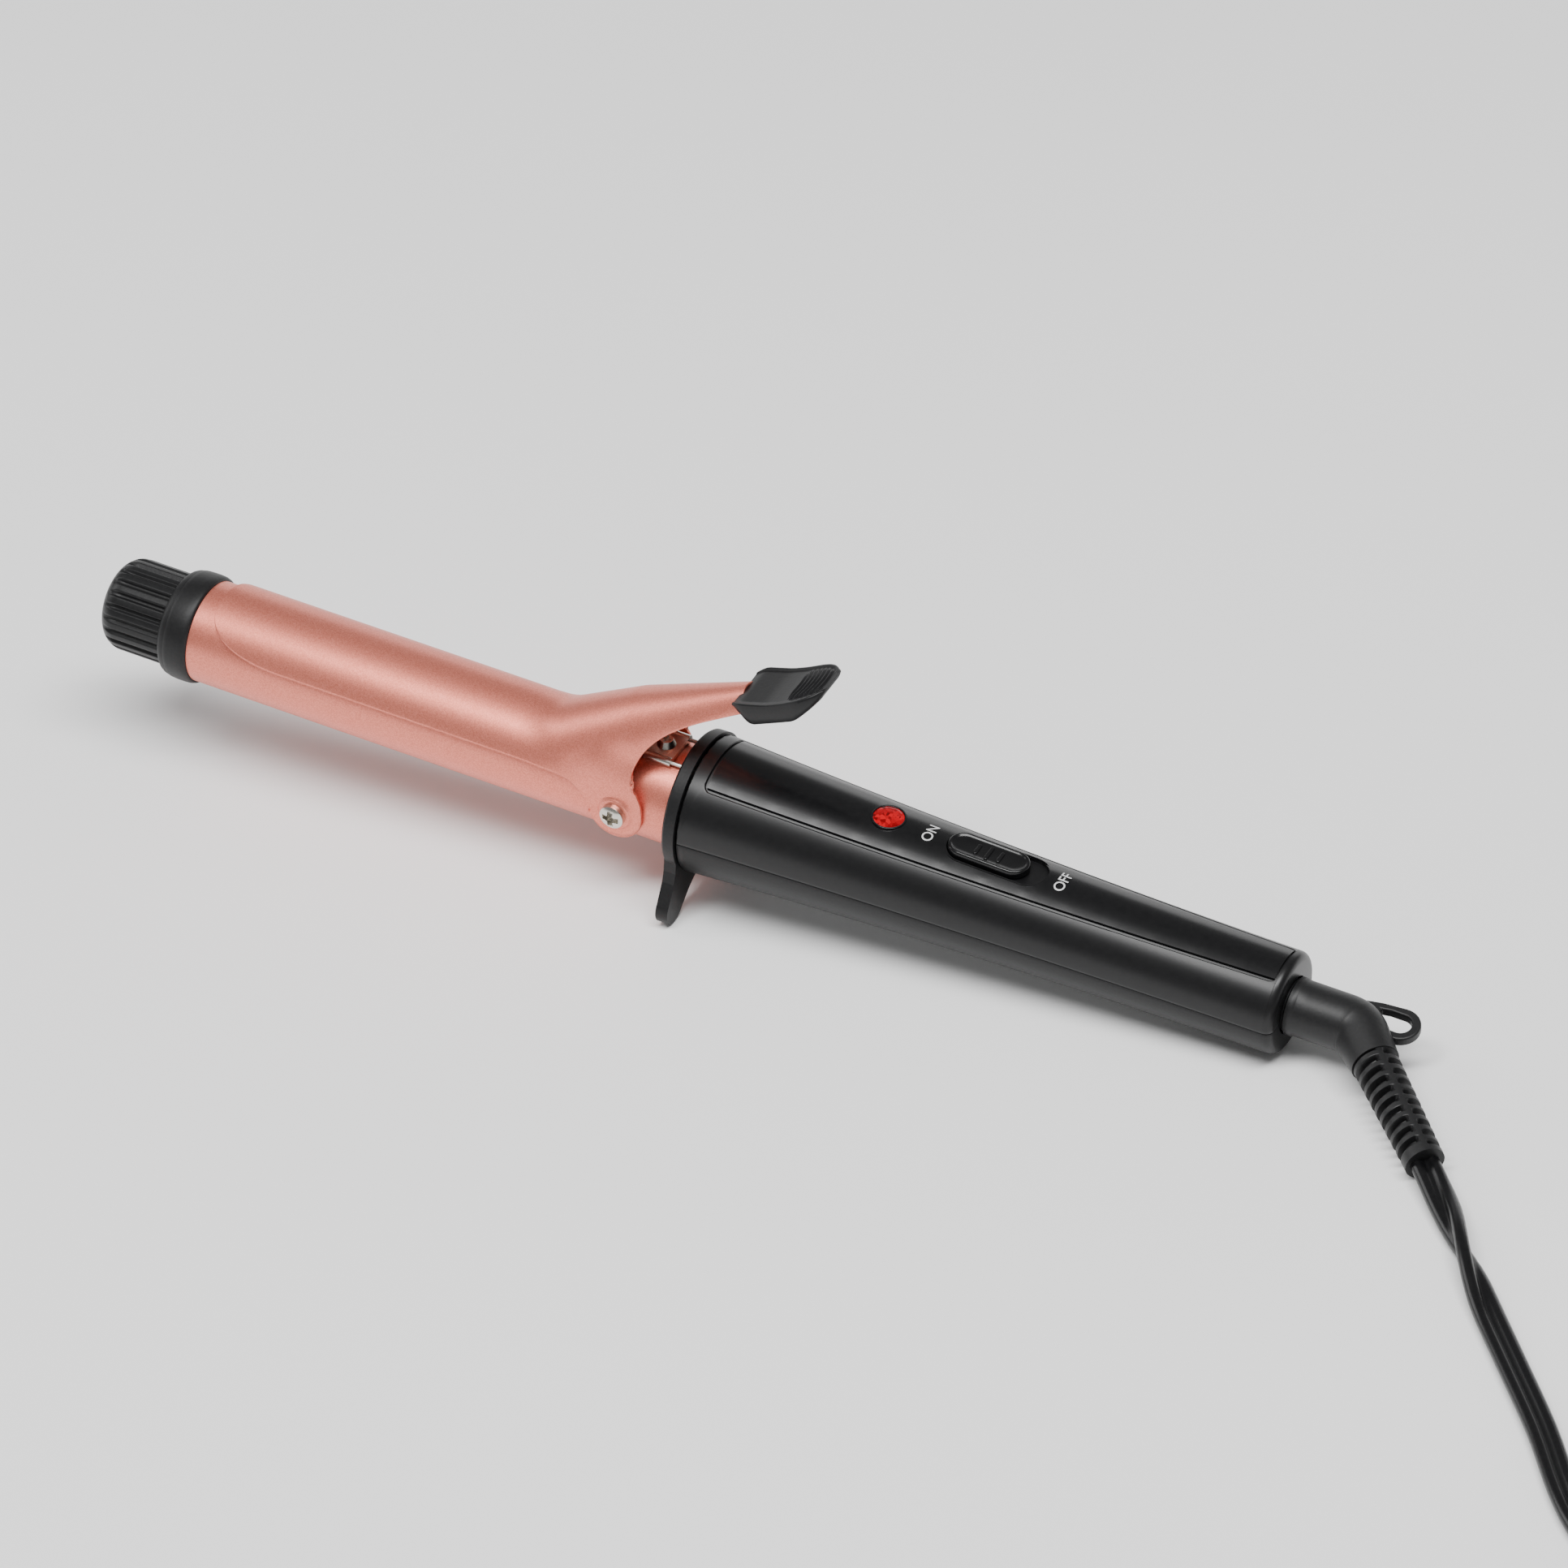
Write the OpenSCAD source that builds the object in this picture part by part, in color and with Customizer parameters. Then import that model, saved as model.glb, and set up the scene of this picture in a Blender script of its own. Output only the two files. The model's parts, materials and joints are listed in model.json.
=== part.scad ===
// Curling iron: heated barrel, sprung hair clamp, tapered handle with a slide switch and a signal
// lamp, twin-leg table rest and a swivel cord with a flat two-core lead.
//
// Everything but the lead is drawn in the iron's own frame: X runs along the barrel axis from the
// tip collar's back face towards the cord, +Z is the side with the switch, -Y the side of the
// first pivot screw. rest() then lays the iron on its two legs and the handle's rear end, at z = 0.

/* [Barrel] */
// Outside diameter of the heated barrel
barrel_d = 25; // [19:1:32]
// Bare length between the tip collar and the front collar
barrel_len = 130.2; // [110:0.1:150]
// Sheet thickness of the barrel tube
barrel_wall = 0.8; // [0.6:0.1:1.2]

/* [Tip] */
// Length of the fluted cool tip in front of its collar
tip_len = 17; // [12:0.5:24]
// Diameter of the fluted cool tip
tip_d = 22.8; // [18:0.2:26]
// Diameter of the smooth collar behind the tip
tip_collar_d = 27; // [25:0.5:30]
// Length of the smooth collar
tip_collar_len = 8.3; // [6:0.1:12]
// Number of flutes round the tip
tip_flutes = 22; // [16:1:28]

/* [Handle] */
// Diameter at the front end of the handle
handle_front_d = 33.4; // [30:0.2:38]
// Diameter at the rear end of the handle
handle_rear_d = 24.7; // [22:0.1:28]
// Length of the handle shells
handle_len = 149.4; // [130:0.1:170]
// Wall thickness of the shells
handle_wall = 2.6; // [2:0.1:3]

/* [Front collar and legs] */
// Diameter of the collar ring in front of the handle
ring_d = 34.6; // [33:0.2:38]
// Thickness of the ring and of the legs
ring_len = 3.2; // [2.5:0.1:5]
// Distance from the barrel axis to the tip of a leg
leg_reach = 30; // [26:0.5:36]
// Angle of each leg from straight down
leg_splay = 38; // [25:1:45]

/* [Clamp] */
// Clearance between the closed clamp and the barrel
clamp_gap = 0.35; // [0.3:0.05:0.8]
// Sheet thickness of the clamp
clamp_sheet = 0.7; // [0.5:0.1:1]
// Distance from the tip collar to the front of the clamp
clamp_front = 4.7; // [3:0.1:12]
// Distance from the tip collar to the pivot screws
pivot_x = 116.2; // [105:0.1:122]
// Width of the thumb rest
thumb_w = 16; // [12:0.5:20]

/* [Switch and lamp] */
// Distance from the tip collar to the signal lamp
lamp_x = 180.4; // [175:0.1:185]
// Distance from the tip collar to the middle of the switch button at ON
switch_x = 206.1; // [200:0.1:212]
// How far the button slides between ON and OFF
switch_travel = 4.4; // [3:0.1:6]

/* [Cord] */
// Width of the flat two-core lead
cord_w = 7; // [6:0.1:7.5]
// Thickness of the lead
cord_t = 3.4; // [3:0.1:3.8]
// Bend of the swivel elbow away from the handle axis
elbow_bend = 45; // [30:1:60]
// Turn of the swivel from straight down towards the -Y side
elbow_turn = 82; // [0:1:90]

/* [Hidden] */
$fn = 64;
eps = 0.01;
fit = 0.05;                       // clearance between pieces that are fixed together
run = 0.06;                       // radial clearance of a running fit

barrel_r = barrel_d / 2;
barrel_in_r = barrel_r - barrel_wall;
barrel_end = barrel_len + 17;     // the tube runs on into the handle

tip_r = tip_d / 2;
tip_corner = 5;
tip_front = -tip_collar_len - tip_len;

ring_r = ring_d / 2;
ring_x = barrel_len;
ring_end = ring_x + ring_len;
ring_bore_r = barrel_r + 0.6;

handle_x = ring_end + 0.4;        // a dark shadow line is left behind the ring
handle_end = handle_x + handle_len;
front_r = handle_front_d / 2;
rear_r = handle_rear_d / 2;
rear_round = 2;
taper_power = 1.9;
taper_steps = 14;
panel_t = 1.3;
panel_x = 138.2;
panel_end = 280.6;
panel_front_half = 9.4;
panel_rear_half = 5.4;

// Outside radius of the handle at a distance x from the tip collar: a curve that flattens out.
function handle_r(x) =
    rear_r + (front_r - rear_r) * pow(1 - min(1, max(0, (x - handle_x) / handle_len)), taper_power);
// Slope of the handle's upper line at x, in degrees.
function handle_slope(x) = atan((handle_r(x - 1) - handle_r(x + 1)) / 2);

// Resting pose: the two leg tips and the rear end of the handle touch the table.
leg_tip_r = 4;
leg_drop = (leg_reach - leg_tip_r) * cos(leg_splay) + leg_tip_r;
rest_rear_x = handle_end - rear_round;
rest_tilt = atan((leg_drop - rear_r) / (rest_rear_x - ring_end));
rest_z = rest_rear_x * sin(rest_tilt) + rear_r * cos(rest_tilt);
// The origin is below the middle of the iron's length, from the tip to the rear face.
front_extreme = (tip_front + tip_corner) * cos(rest_tilt) - (tip_r - tip_corner) * sin(rest_tilt) - tip_corner;
rear_extreme = rest_rear_x * cos(rest_tilt) + (rear_r - rear_round) * sin(rest_tilt) + rear_round;
rest_x = -(front_extreme + rear_extreme) / 2;

// Clamp
clamp_in_r = barrel_r + clamp_gap;
clamp_r = clamp_in_r + clamp_sheet;
ear_r = 6.9;
boss_r = 3.8;
boss_h = 0.5;
ear_y = clamp_in_r + 0.05;           // inner face of the flat ears
web_lean = 14;
lever_x = 97;                     // where the lever's own axis leaves the barrel's
lever_rise = 36;                  // slope of that axis, in degrees
lever_mid = [28.5, 10.8];         // distance along the lever and outside radius, half way
lever_end = [60.6, 4.8];          // the same, inside the thumb rest
pivot_shank_r = 1.5;
pivot_hole_r = pivot_shank_r + run;
screw_head_r = 2.8;
screw_head_h = 2.1;

// Thumb rest: its own frame starts under the lever's end and rises with it.
thumb_at = [143, 36];
thumb_tilt = 24;

// Switch
button_len = 20.4;
button_r = 3.95;
slot_r = 4.55;
slot_len = button_len + switch_travel + 2 * (slot_r - button_r) - 0.7;

// Swivel and elbow
neck_r = 6.2;
neck_bore_r = 7;
elbow_x = 299.3;
cone_len = 11.5;
relief_len = 42.6;
relief_rings = 10;
loop_bar_r = 1.15;
loop_half = 3.8;
loop_z = 4.1;
loop_x = 308.1;

// Lead on the table, in the resting frame: a route of hand-set points, x, y and z of its middle.
cord_route = [
    [197.6, -28.3, 4.6],
    [199.2, -29.9, 4.3],
    [204.5, -35.6, 3.2],
    [210, -42, 2.2],
    [216, -49.5, 1.8],
    [223.5, -58.5, 1.8],
    [230, -66.5, 1.8],
    [242, -80.5, 1.8],
    [256, -97, 1.8],
    [268, -113, 1.8],
    [277, -122.5, 1.8],
    [287.5, -129.5, 1.8],
    [300, -134, 1.8],
    [310, -135.5, 1.8],
    [320, -135.7, 1.8]
];
coil_at = [320, -90];
coil_r = 42;                      // middle of the turns
coil_half = 7.4;
coil_h = 13.8;
tail_len = 28;
plug_x = coil_at[0] + coil_r + coil_half / 2;
plug_y = coil_at[1] + tail_len;
plug_body_len = 36;
plug_body_w = 35.3;
plug_body_h = 13.7;
plug_z = plug_body_h / 2;
pin_r = 2;
pin_len = 19;
pin_gap = 18.6;

// ---- helpers -----------------------------------------------------------------------------------

// Lays the iron's own frame on the table.
module rest()
    translate([rest_x, 0, rest_z]) rotate([0, rest_tilt, 0]) children();

// A cylinder along +X from x0 to x1.
module rod(r, x0, x1)
    translate([x0, 0, 0]) rotate([0, 90, 0]) cylinder(r = r, h = x1 - x0);

// A tube along +X.
module pipe(r, bore, x0, x1)
    difference() {
        rod(r, x0, x1);
        rod(bore, x0 - 1, x1 + 1);
    }

// Turns a closed outline of [x, radius] points about the X axis.
module turned(points)
    rotate([0, 90, 0]) rotate_extrude() polygon([for (p = points) [p[1], p[0]]]);

// A side-view outline in X and Z, made solid between two Y values.
module side_plate(y0, y1)
    translate([0, y1, 0]) rotate([90, 0, 0]) linear_extrude(y1 - y0) children();

// A frame that touches the handle's upper line at x, with local X following the taper.
module on_panel(x)
    translate([x, 0, handle_r(x)]) rotate([0, handle_slope(x), 0]) children();

// A flat-ended slot shape along X with round ends.
module stadium(len, r)
    union() {
        square([len - 2 * r, 2 * r], center = true);
        for (side = [-1, 1])
            translate([side * (len / 2 - r), 0]) circle(r);
    }

// The lever's outside, turned about its own axis; shrink makes the tool that hollows it.
module lever(shrink, extra)
    translate([lever_x, 0, 0]) rotate([0, 90 - lever_rise, 0]) rotate_extrude()
        polygon([
            [0, -extra], [clamp_r - shrink, -extra], [clamp_r - shrink, 0], [lever_mid[1] - shrink, lever_mid[0]],
            [lever_end[1] - shrink, lever_end[0]], [lever_end[1] - shrink, lever_end[0] + extra], [0, lever_end[0] + extra]
        ]);

// A closed solid through a row of rings, each turning the same way about the heading.
module skin(rings) {
    sides = len(rings[0]);
    last = len(rings) - 1;
    polyhedron(
        points = [for (ring = rings) each ring],
        faces = concat(
            [[for (k = [0:sides - 1]) k]],
            [for (i = [0:last - 1], k = [0:sides - 1])
                let (a = i * sides, b = (k + 1) % sides)
                    [a + k, a + sides + k, a + sides + b, a + b]],
            [[for (k = [sides - 1:-1:0]) last * sides + k]]
        )
    );
}

// Points on a circle arc, from angle a0 to a1.
function arc(cx, cy, r, a0, a1, steps) =
    [for (i = [0:steps]) [cx + r * cos(a0 + (a1 - a0) * i / steps), cy + r * sin(a0 + (a1 - a0) * i / steps)]];

// ---- tip ---------------------------------------------------------------------------------------

module cool_tip() color([0.05, 0.05, 0.055])
    difference() {
        turned(concat(
            [[tip_front, 0]],
            [for (p = arc(tip_front + tip_corner, tip_r - tip_corner, tip_corner, 180, 90, 6)) p],
            [[-tip_collar_len, tip_r], [-tip_collar_len, 0]]
        ));
        rod(8 + fit, -tip_collar_len - 9, -tip_collar_len + 1);
        rod(1.2, tip_front + 6, -tip_collar_len);
        for (i = [0:tip_flutes - 1])
            rotate([360 * i / tip_flutes, 0, 0])
                translate([tip_front + 3.5, 0, tip_r + 0.2])
                    rotate([0, 90, 0]) cylinder(r = 0.75, h = tip_len + 5, $fn = 12);
    }

module tip_collar() color([0.1, 0.1, 0.105])
    difference() {
        union() {
            turned(concat(
                [[-tip_collar_len, 0]],
                [for (p = arc(-tip_collar_len + 2.6, tip_collar_d / 2 - 2.6, 2.6, 180, 90, 6)) p],
                [for (p = arc(-1.2, tip_collar_d / 2 - 1.2, 1.2, 90, 0, 4)) p],
                [[0, 0]]
            ));
            rod(barrel_in_r - fit, -1, 9);
            rod(8, -tip_collar_len - 8.5, -tip_collar_len + 1);
        }
        rod(1.6, -20, 12);
        rod(9, -2, 12);
    }

module tip_screw() color([0.7, 0.7, 0.7])
    union() {
        rod(1.2, -tip_collar_len - 10.5, -1);
        rod(2.7, -2 + fit, 0);
    }

// ---- barrel and heater -------------------------------------------------------------------------

module barrel() color([0.86, 0.6, 0.52])
    difference() {
        pipe(barrel_r, barrel_in_r, fit, barrel_end);
        translate([pivot_x, 0, 0]) rotate([90, 0, 0]) cylinder(r = pivot_shank_r + fit, h = 40, center = true);
        translate([bracket_x, 0, 0]) cylinder(r = 1.3, h = 20);
    }

// One half of the aluminium block that carries heat from the plate to the tube.
module heat_spreader(side) color([0.75, 0.75, 0.77])
    intersection() {
        difference() {
            rod(barrel_in_r - 0.1, 18, 104);
            translate([10, -8, -1.65]) cube([110, 16, 3.3]);
            for (y = [-1, 1])
                translate([0, y * 9.9, 0]) rod(1.3, 10, 110);
        }
        translate([10, -15, side > 0 ? fit : -15]) cube([110, 30, 15 - fit]);
    }

module heater_plate() color([0.9, 0.85, 0.7])
    translate([22, -7.5, -1.55]) cube([78, 15, 3.1]);

module thermal_fuse() color([0.8, 0.75, 0.6])
    translate([0, 0, -6.5]) rod(2, 106.5, 120);

bracket_x = 122.6;

module heater_leads() color([0.85, 0.85, 0.8])
    for (side = [-1, 1])
        translate([0, side * 5.2, 0.4]) rod(0.9, 100.2, 172);

module barrel_bush() color([0.85, 0.83, 0.76])
    pipe(handle_r(147) - handle_wall - fit, barrel_r + fit, ring_end + 2.6, 147);

// ---- front collar with its two legs ------------------------------------------------------------

// Outline of one leg in its own plane, pointing along -Y.
module leg_outline()
    difference() {
        union() {
            translate([0, -(leg_reach - leg_tip_r)]) circle(leg_tip_r);
            polygon([
                [-8.4, -14.6], [-6.2, -17.8], [-5.1, -20.5], [-4.5, -23.5], [-leg_tip_r, -26],
                [leg_tip_r, -26], [4.5, -23.5], [5.1, -20.5], [6.2, -17.8], [8.4, -14.6]
            ]);
        }
        circle(ring_bore_r);
    }

module front_collar() color([0.16, 0.16, 0.165])
    difference() {
        union() {
            turned([
                [ring_x, ring_bore_r], [ring_x, ring_r - 0.5], [ring_x + 0.5, ring_r - 0.1],
                [ring_end, ring_r], [ring_end, front_r - handle_wall - fit],
                [ring_end + 2.5, front_r - handle_wall - fit - 0.15], [ring_end + 2.5, ring_bore_r]
            ]);
            for (side = [-1, 1])
                translate([ring_x + 0.1, 0, 0])
                    rotate([90, 0, 90]) rotate(side * leg_splay) linear_extrude(ring_len - 0.1) leg_outline();
        }
        translate([ring_x - 1, -5.9, 9]) cube([ring_len + 5, 11.8, 4.9]);
    }

// ---- clamp pivot and spring --------------------------------------------------------------------

module pivot_nuts() color([0.7, 0.7, 0.68])
    for (side = [-1, 1])
        translate([pivot_x, side * 9.2, 0]) rotate([90, 0, 0])
            difference() {
                cylinder(r = 3.6, h = 3.2, center = true);
                cylinder(r = pivot_shank_r, h = 5, center = true);
            }

module pivot_screws() color([0.82, 0.82, 0.78])
    for (side = [-1, 1])
        translate([pivot_x, 0, 0]) rotate([side * 90, 0, 0])
            difference() {
                union() {
                    translate([0, 0, 7.6]) cylinder(r = pivot_shank_r, h = clamp_r + boss_h + 0.3 - 7.6);
                    translate([0, 0, clamp_r + boss_h + 0.1])
                        cylinder(r = screw_head_r, h = screw_head_h);
                }
                translate([0, 0, clamp_r + boss_h + 1])
                    for (turn = [0, 90])
                        rotate(turn) translate([-1.6, -0.45, 0]) cube([3.2, 0.9, 3]);
            }

wire_y = 4.7;
wire_z = 12.78;
wire_r = 0.5;

module spring_bracket() color([0.8, 0.79, 0.74])
    difference() {
        union() {
            translate([119.4, -wire_y, barrel_r + 0.2]) cube([7, 2 * wire_y, 0.9]);
            for (side = [-1, 1])
                translate([0, side * wire_y, wire_z]) rod(1.1, 119.4, 126.4);
        }
        for (side = [-1, 1])
            translate([0, side * wire_y, wire_z]) rod(wire_r + fit, 118, 128);
        translate([bracket_x, 0, 10]) cylinder(r = 1.4, h = 8);
    }

module bracket_screw() color([0.82, 0.82, 0.78])
    difference() {
        translate([bracket_x, 0, 0])
            union() {
                translate([0, 0, 9.4]) cylinder(r = 1.25, h = barrel_r + 1.2 - 9.4);
                translate([0, 0, barrel_r + 1.15]) cylinder(r1 = 2.3, r2 = 1.6, h = 1.5);
            }
        translate([bracket_x - 1.2, -0.3, barrel_r + 2]) cube([2.4, 0.6, 2]);
        translate([bracket_x - 0.3, -1.2, barrel_r + 2]) cube([0.6, 2.4, 2]);
    }

// Wire spring: two legs held by the bracket fold back under the lever to a thicker cross bar.
fold_at = [113.5, wire_z + 2.6];
fold_r = 2.6;
bar_at = [122, 25.8];
bar_r = 0.75;
bar_half = 5.05;
// The fold ends where the wire points straight at the cross bar.
fold_end = atan2(bar_at[1] - fold_at[1], bar_at[0] - fold_at[0]) + acos(fold_r / norm(bar_at - fold_at));
wire_path = concat(
    [[ring_end + 0.2, wire_z]],
    arc(fold_at[0], fold_at[1], fold_r, 270, fold_end, 8),
    [bar_at]
);

// One ring of the wire, across its heading in the side plane.
wire_sides = 10;
function wire_ring(i) =
    let (to = wire_path[min(i + 1, len(wire_path) - 1)] - wire_path[max(i - 1, 0)],
         t = to / norm(to))
        [for (k = [0:wire_sides - 1]) let (a = 360 * k / wire_sides)
            [wire_path[i][0] - wire_r * sin(a) * t[1], wire_r * cos(a), wire_path[i][1] + wire_r * sin(a) * t[0]]];

module clamp_spring() color([0.8, 0.79, 0.74])
    union() {
        for (side = [-1, 1])
            translate([0, side * wire_y, 0]) skin([for (i = [0:len(wire_path) - 1]) wire_ring(i)]);
        translate([bar_at[0], -bar_half, bar_at[1]])
            rotate([-90, 0, 0]) cylinder(r = bar_r, h = 2 * bar_half);
    }

// ---- clamp -------------------------------------------------------------------------------------

// Side view of the whole clamp: round front, level lower edge, ear round the pivot, hollow behind
// the ear and the lever's lower edge.
edge_z = 5.2;
nose_len = 20.3;
module clamp_outline()
    union() {
        polygon(concat(
            [for (i = [0:10]) let (a = 90 - 9 * i)
                [clamp_front + nose_len * (1 - sin(a)), clamp_r + 0.2 - (clamp_r + 0.2 - edge_z) * cos(a)]],
            [[101, edge_z], [104, 4.7], [106.6, 3.2], [108.4, 0.9], [109.4, -1.2]],
            [for (p = arc(pivot_x, 0, ear_r, 190, 350, 12)) p],
            [
                [123.1, 1], [122.6, 4], [121.2, 7], [119.4, 9.6], [118.9, 12], [120, 15.4],
                [123, 20], [127, 24.2], [133, 28.6], [146, 35.8], [149, 48], [90, 48], [clamp_front, 20]
            ]
        ));
    }

module clamp() color([0.86, 0.6, 0.52])
    difference() {
        union() {
            intersection() {
                union() {
                    clamp_sheets();
                    for (side = [0, 1])
                        mirror([0, side, 0]) {
                            translate([105, ear_y, -10]) cube([20, clamp_sheet, 16]);
                            web();
                        }
                }
                side_plate(-20, 20) clamp_outline();
            }
            for (side = [-1, 1])
                translate([pivot_x, 0, 0]) rotate([side * 90, 0, 0])
                    translate([0, 0, ear_y + 0.1]) cylinder(r = boss_r, h = clamp_sheet + boss_h - 0.1);
        }
        translate([pivot_x, 0, 0]) rotate([90, 0, 0]) cylinder(r = pivot_hole_r, h = 40, center = true);
    }

// The rolled half-tube over the barrel, and the lever behind it.
module clamp_sheets() {
    difference() {
        rod(clamp_r, clamp_front - 1, pivot_x - 1);
        rod(clamp_in_r, 0, pivot_x + 40);
        translate([102, -20, -20]) cube([20, 40, 21]);
        lever(clamp_sheet, 1);
    }
    difference() {
        lever(0, 0);
        lever(clamp_sheet, 1);
        rod(clamp_in_r, 0, pivot_x + 40);
        translate([106, -11.2, 0]) cube([24, 22.4, 12]);
    }
}

// Slanted sheet between the flat ear and the foot of the lever.
module web()
    translate([104.2, ear_y + 0.02, 4.4]) rotate([web_lean, 0, 0]) cube([18, clamp_sheet, 11]);

// ---- thumb rest --------------------------------------------------------------------------------

module thumb_rest() color([0.12, 0.12, 0.125])
    translate([thumb_at[0], 0, thumb_at[1]]) rotate([0, -thumb_tilt, 0])
        difference() {
            intersection() {
                side_plate(-thumb_w / 2, thumb_w / 2)
                    polygon([[1.5, 2.4], [3.2, -3.6], [16, -3.1], [21, -0.6], [25.6, 1.8], [25.8, 3.6], [22, 3.4], [9, 2.9], [3, 2.9]]);
                translate([0, 0, -8]) linear_extrude(16)
                    polygon([[1.5, -6.6], [3.5, -8], [19, -8], [24, -6], [25.8, -3.6], [25.8, 3.6], [24, 6], [19, 8], [3.5, 8], [1.5, 6.6]]);
            }
            translate([10.5, 0, 39.6]) rotate([90, 0, 0]) cylinder(r = 37.6, h = 40, center = true);
            lever_socket();
        }

// Pocket for the lever's end, in the thumb rest's own frame.
module lever_socket()
    rotate([0, thumb_tilt, 0]) translate([-thumb_at[0], 0, -thumb_at[1]])
        intersection() {
            difference() {
                lever(-fit, fit);
                lever(clamp_sheet + fit, 1);
            }
            translate([130, -10, 0]) cube([20, 20, 60]);
        }

// ---- handle ------------------------------------------------------------------------------------

// Outline of the handle's outside, as [x, radius] points, inset by a distance.
function handle_points(inset) = [
    for (i = [0:taper_steps]) let (x = handle_x + (rest_rear_x - handle_x) * i / taper_steps)
        [x, handle_r(x) - inset]
];

module handle_blank(inset, x0, x1)
    intersection() {
        turned(concat([[handle_x, 0]], handle_points(inset), [[rest_rear_x, 0]]));
        rod(30, x0, x1);
    }

module handle_outer()
    turned(concat(
        [[handle_x, 0], [handle_x, handle_r(handle_x) - 0.4]],
        [for (i = [1:taper_steps]) handle_points(0)[i]],
        [for (p = arc(rest_rear_x, rear_r - rear_round, rear_round, 75, 0, 4)) p],
        [[handle_end, 0]]
    ));

// Plan view of the panel, growing by a margin.
module panel_plan(margin)
    polygon([
        [panel_x - margin, -panel_front_half - margin], [panel_end + margin, -panel_rear_half - margin],
        [panel_end + margin, panel_rear_half + margin], [panel_x - margin, panel_front_half + margin]
    ]);

module handle_shell()
    difference() {
        handle_outer();
        handle_blank(handle_wall, handle_x - 1, 276);
        rod(neck_bore_r, 270, handle_end + 1);
        rod(rear_r - handle_wall, 273, 276.6);
        rod(9.8, 276.5, 280.6);
    }

module handle_upper() color([0.05, 0.05, 0.055])
    difference() {
        union() {
            intersection() {
                handle_shell();
                translate([100, -30, fit / 2]) cube([200, 60, 30]);
            }
            for (x = [160, 252])
                difference() {
                    translate([x, 0, 0.6]) cylinder(r = 3.2, h = handle_r(x) - handle_wall);
                    translate([x, 0, 0]) cylinder(r = 1.3, h = 8);
                }
        }
        intersection() {
            difference() {
                rod(30, panel_x - 5, panel_end + 5);
                handle_blank(panel_t + fit, handle_x, handle_end);
            }
            translate([0, 0, 0]) linear_extrude(30) panel_plan(fit);
        }
        on_panel(lamp_x) translate([0, 0, -8]) cylinder(r = 3, h = 10);
        on_panel(switch_x + switch_travel / 2) translate([0, 0, -8])
            linear_extrude(10) stadium(6 + switch_travel + 0.6, 1.6);
    }

module handle_lower() color([0.16, 0.16, 0.165])
    difference() {
        union() {
            intersection() {
                handle_shell();
                translate([100, -30, -30]) cube([200, 60, 30 - fit / 2]);
            }
            for (x = [160, 252])
                translate([x, 0, -handle_r(x) + 0.8]) cylinder(r = 4.2, h = 5.2);
        }
        for (x = [160, 252]) {
            translate([x, 0, -20]) cylinder(r = 1.6, h = 20);
            translate([x, 0, -handle_r(x) - 1]) cylinder(r = 3.1, h = 3.8);
        }
    }

module handle_screws() color([0.3, 0.3, 0.3])
    for (x = [160, 252])
        translate([x, 0, -handle_r(x) + 0.9])
            difference() {
                union() {
                    cylinder(r = 2.8, h = 1.85);
                    translate([0, 0, 1.5]) cylinder(r = 1.25, h = handle_r(x) + 4);
                }
                for (turn = [0, 90])
                    rotate(turn) translate([-1.6, -0.35, -1]) cube([3.2, 0.7, 1.9]);
            }

module control_panel() color([0.03, 0.03, 0.035])
    difference() {
        union() {
            intersection() {
                difference() {
                    handle_blank(0, panel_x, panel_end);
                    handle_blank(panel_t, panel_x - 3, panel_end + 3);
                }
                linear_extrude(30) panel_plan(0);
            }
            on_panel(lamp_x) translate([0, 0, -0.9]) cylinder(r = 4.15, h = 1.05);
        }
        on_panel(lamp_x) translate([0, 0, -5]) cylinder(r = 3.75, h = 10);
        on_panel(switch_x + switch_travel / 2 + 0.05) translate([0, 0, -5]) linear_extrude(10) stadium(slot_len, slot_r);
    }

// ---- lamp, switch and electrics ----------------------------------------------------------------

module indicator_lens() color([0.85, 0.02, 0.03])
    on_panel(lamp_x)
        union() {
            translate([0, 0, -panel_t + 0.1]) cylinder(r = 3.7, h = panel_t - 0.1);
            intersection() {
                translate([0, 0, -0.1]) cylinder(r = 3.7, h = 3);
                translate([0, 0, -12.6]) sphere(13.15);
            }
        }

module indicator_lamp() color([0.9, 0.5, 0.35])
    union() {
        translate([lamp_x, 0, 4]) cylinder(r = 2.1, h = 6);
        translate([lamp_x, 0, 10]) sphere(2.1);
        for (y = [-1, 1])
            translate([lamp_x, y, -2.3]) cylinder(r = 0.3, h = 7, $fn = 12);
    }

module switch_button() color([0.03, 0.03, 0.035])
    on_panel(switch_x)
        difference() {
            union() {
                translate([0, 0, -1.1]) linear_extrude(1.95) stadium(button_len, button_r);
                translate([0, 0, -5.2]) linear_extrude(4.2) stadium(6, 1.3);
            }
            translate([0, 0, 24.5]) rotate([0, 90, 0]) cylinder(r = 24.1, h = button_len - 2.6, center = true);
        }

module switch_body() color([0.1, 0.1, 0.1])
    difference() {
        translate([198.5, -4.2, -2.3]) cube([19, 8.4, 10]);
        translate([202, -1.8, 3]) cube([13, 3.6, 6]);
    }

module circuit_board() color([0.15, 0.4, 0.2])
    translate([173, -8.2, -4]) cube([64, 16.4, 1.6]);

module supply_leads() color([0.15, 0.15, 0.35])
    for (side = [-1, 1])
        translate([0, side * 5.2, 0.4]) rod(0.9, 237.2, 259.2);

// ---- swivel ------------------------------------------------------------------------------------

module swivel_bush() color([0.75, 0.75, 0.73])
    pipe(9.75, neck_r + run, 276.7, 280.4);

module slip_rings() color([0.8, 0.65, 0.3])
    for (x = [263.5, 268])
        pipe(5.4, 4.05, x, x + 2.2);

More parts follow.
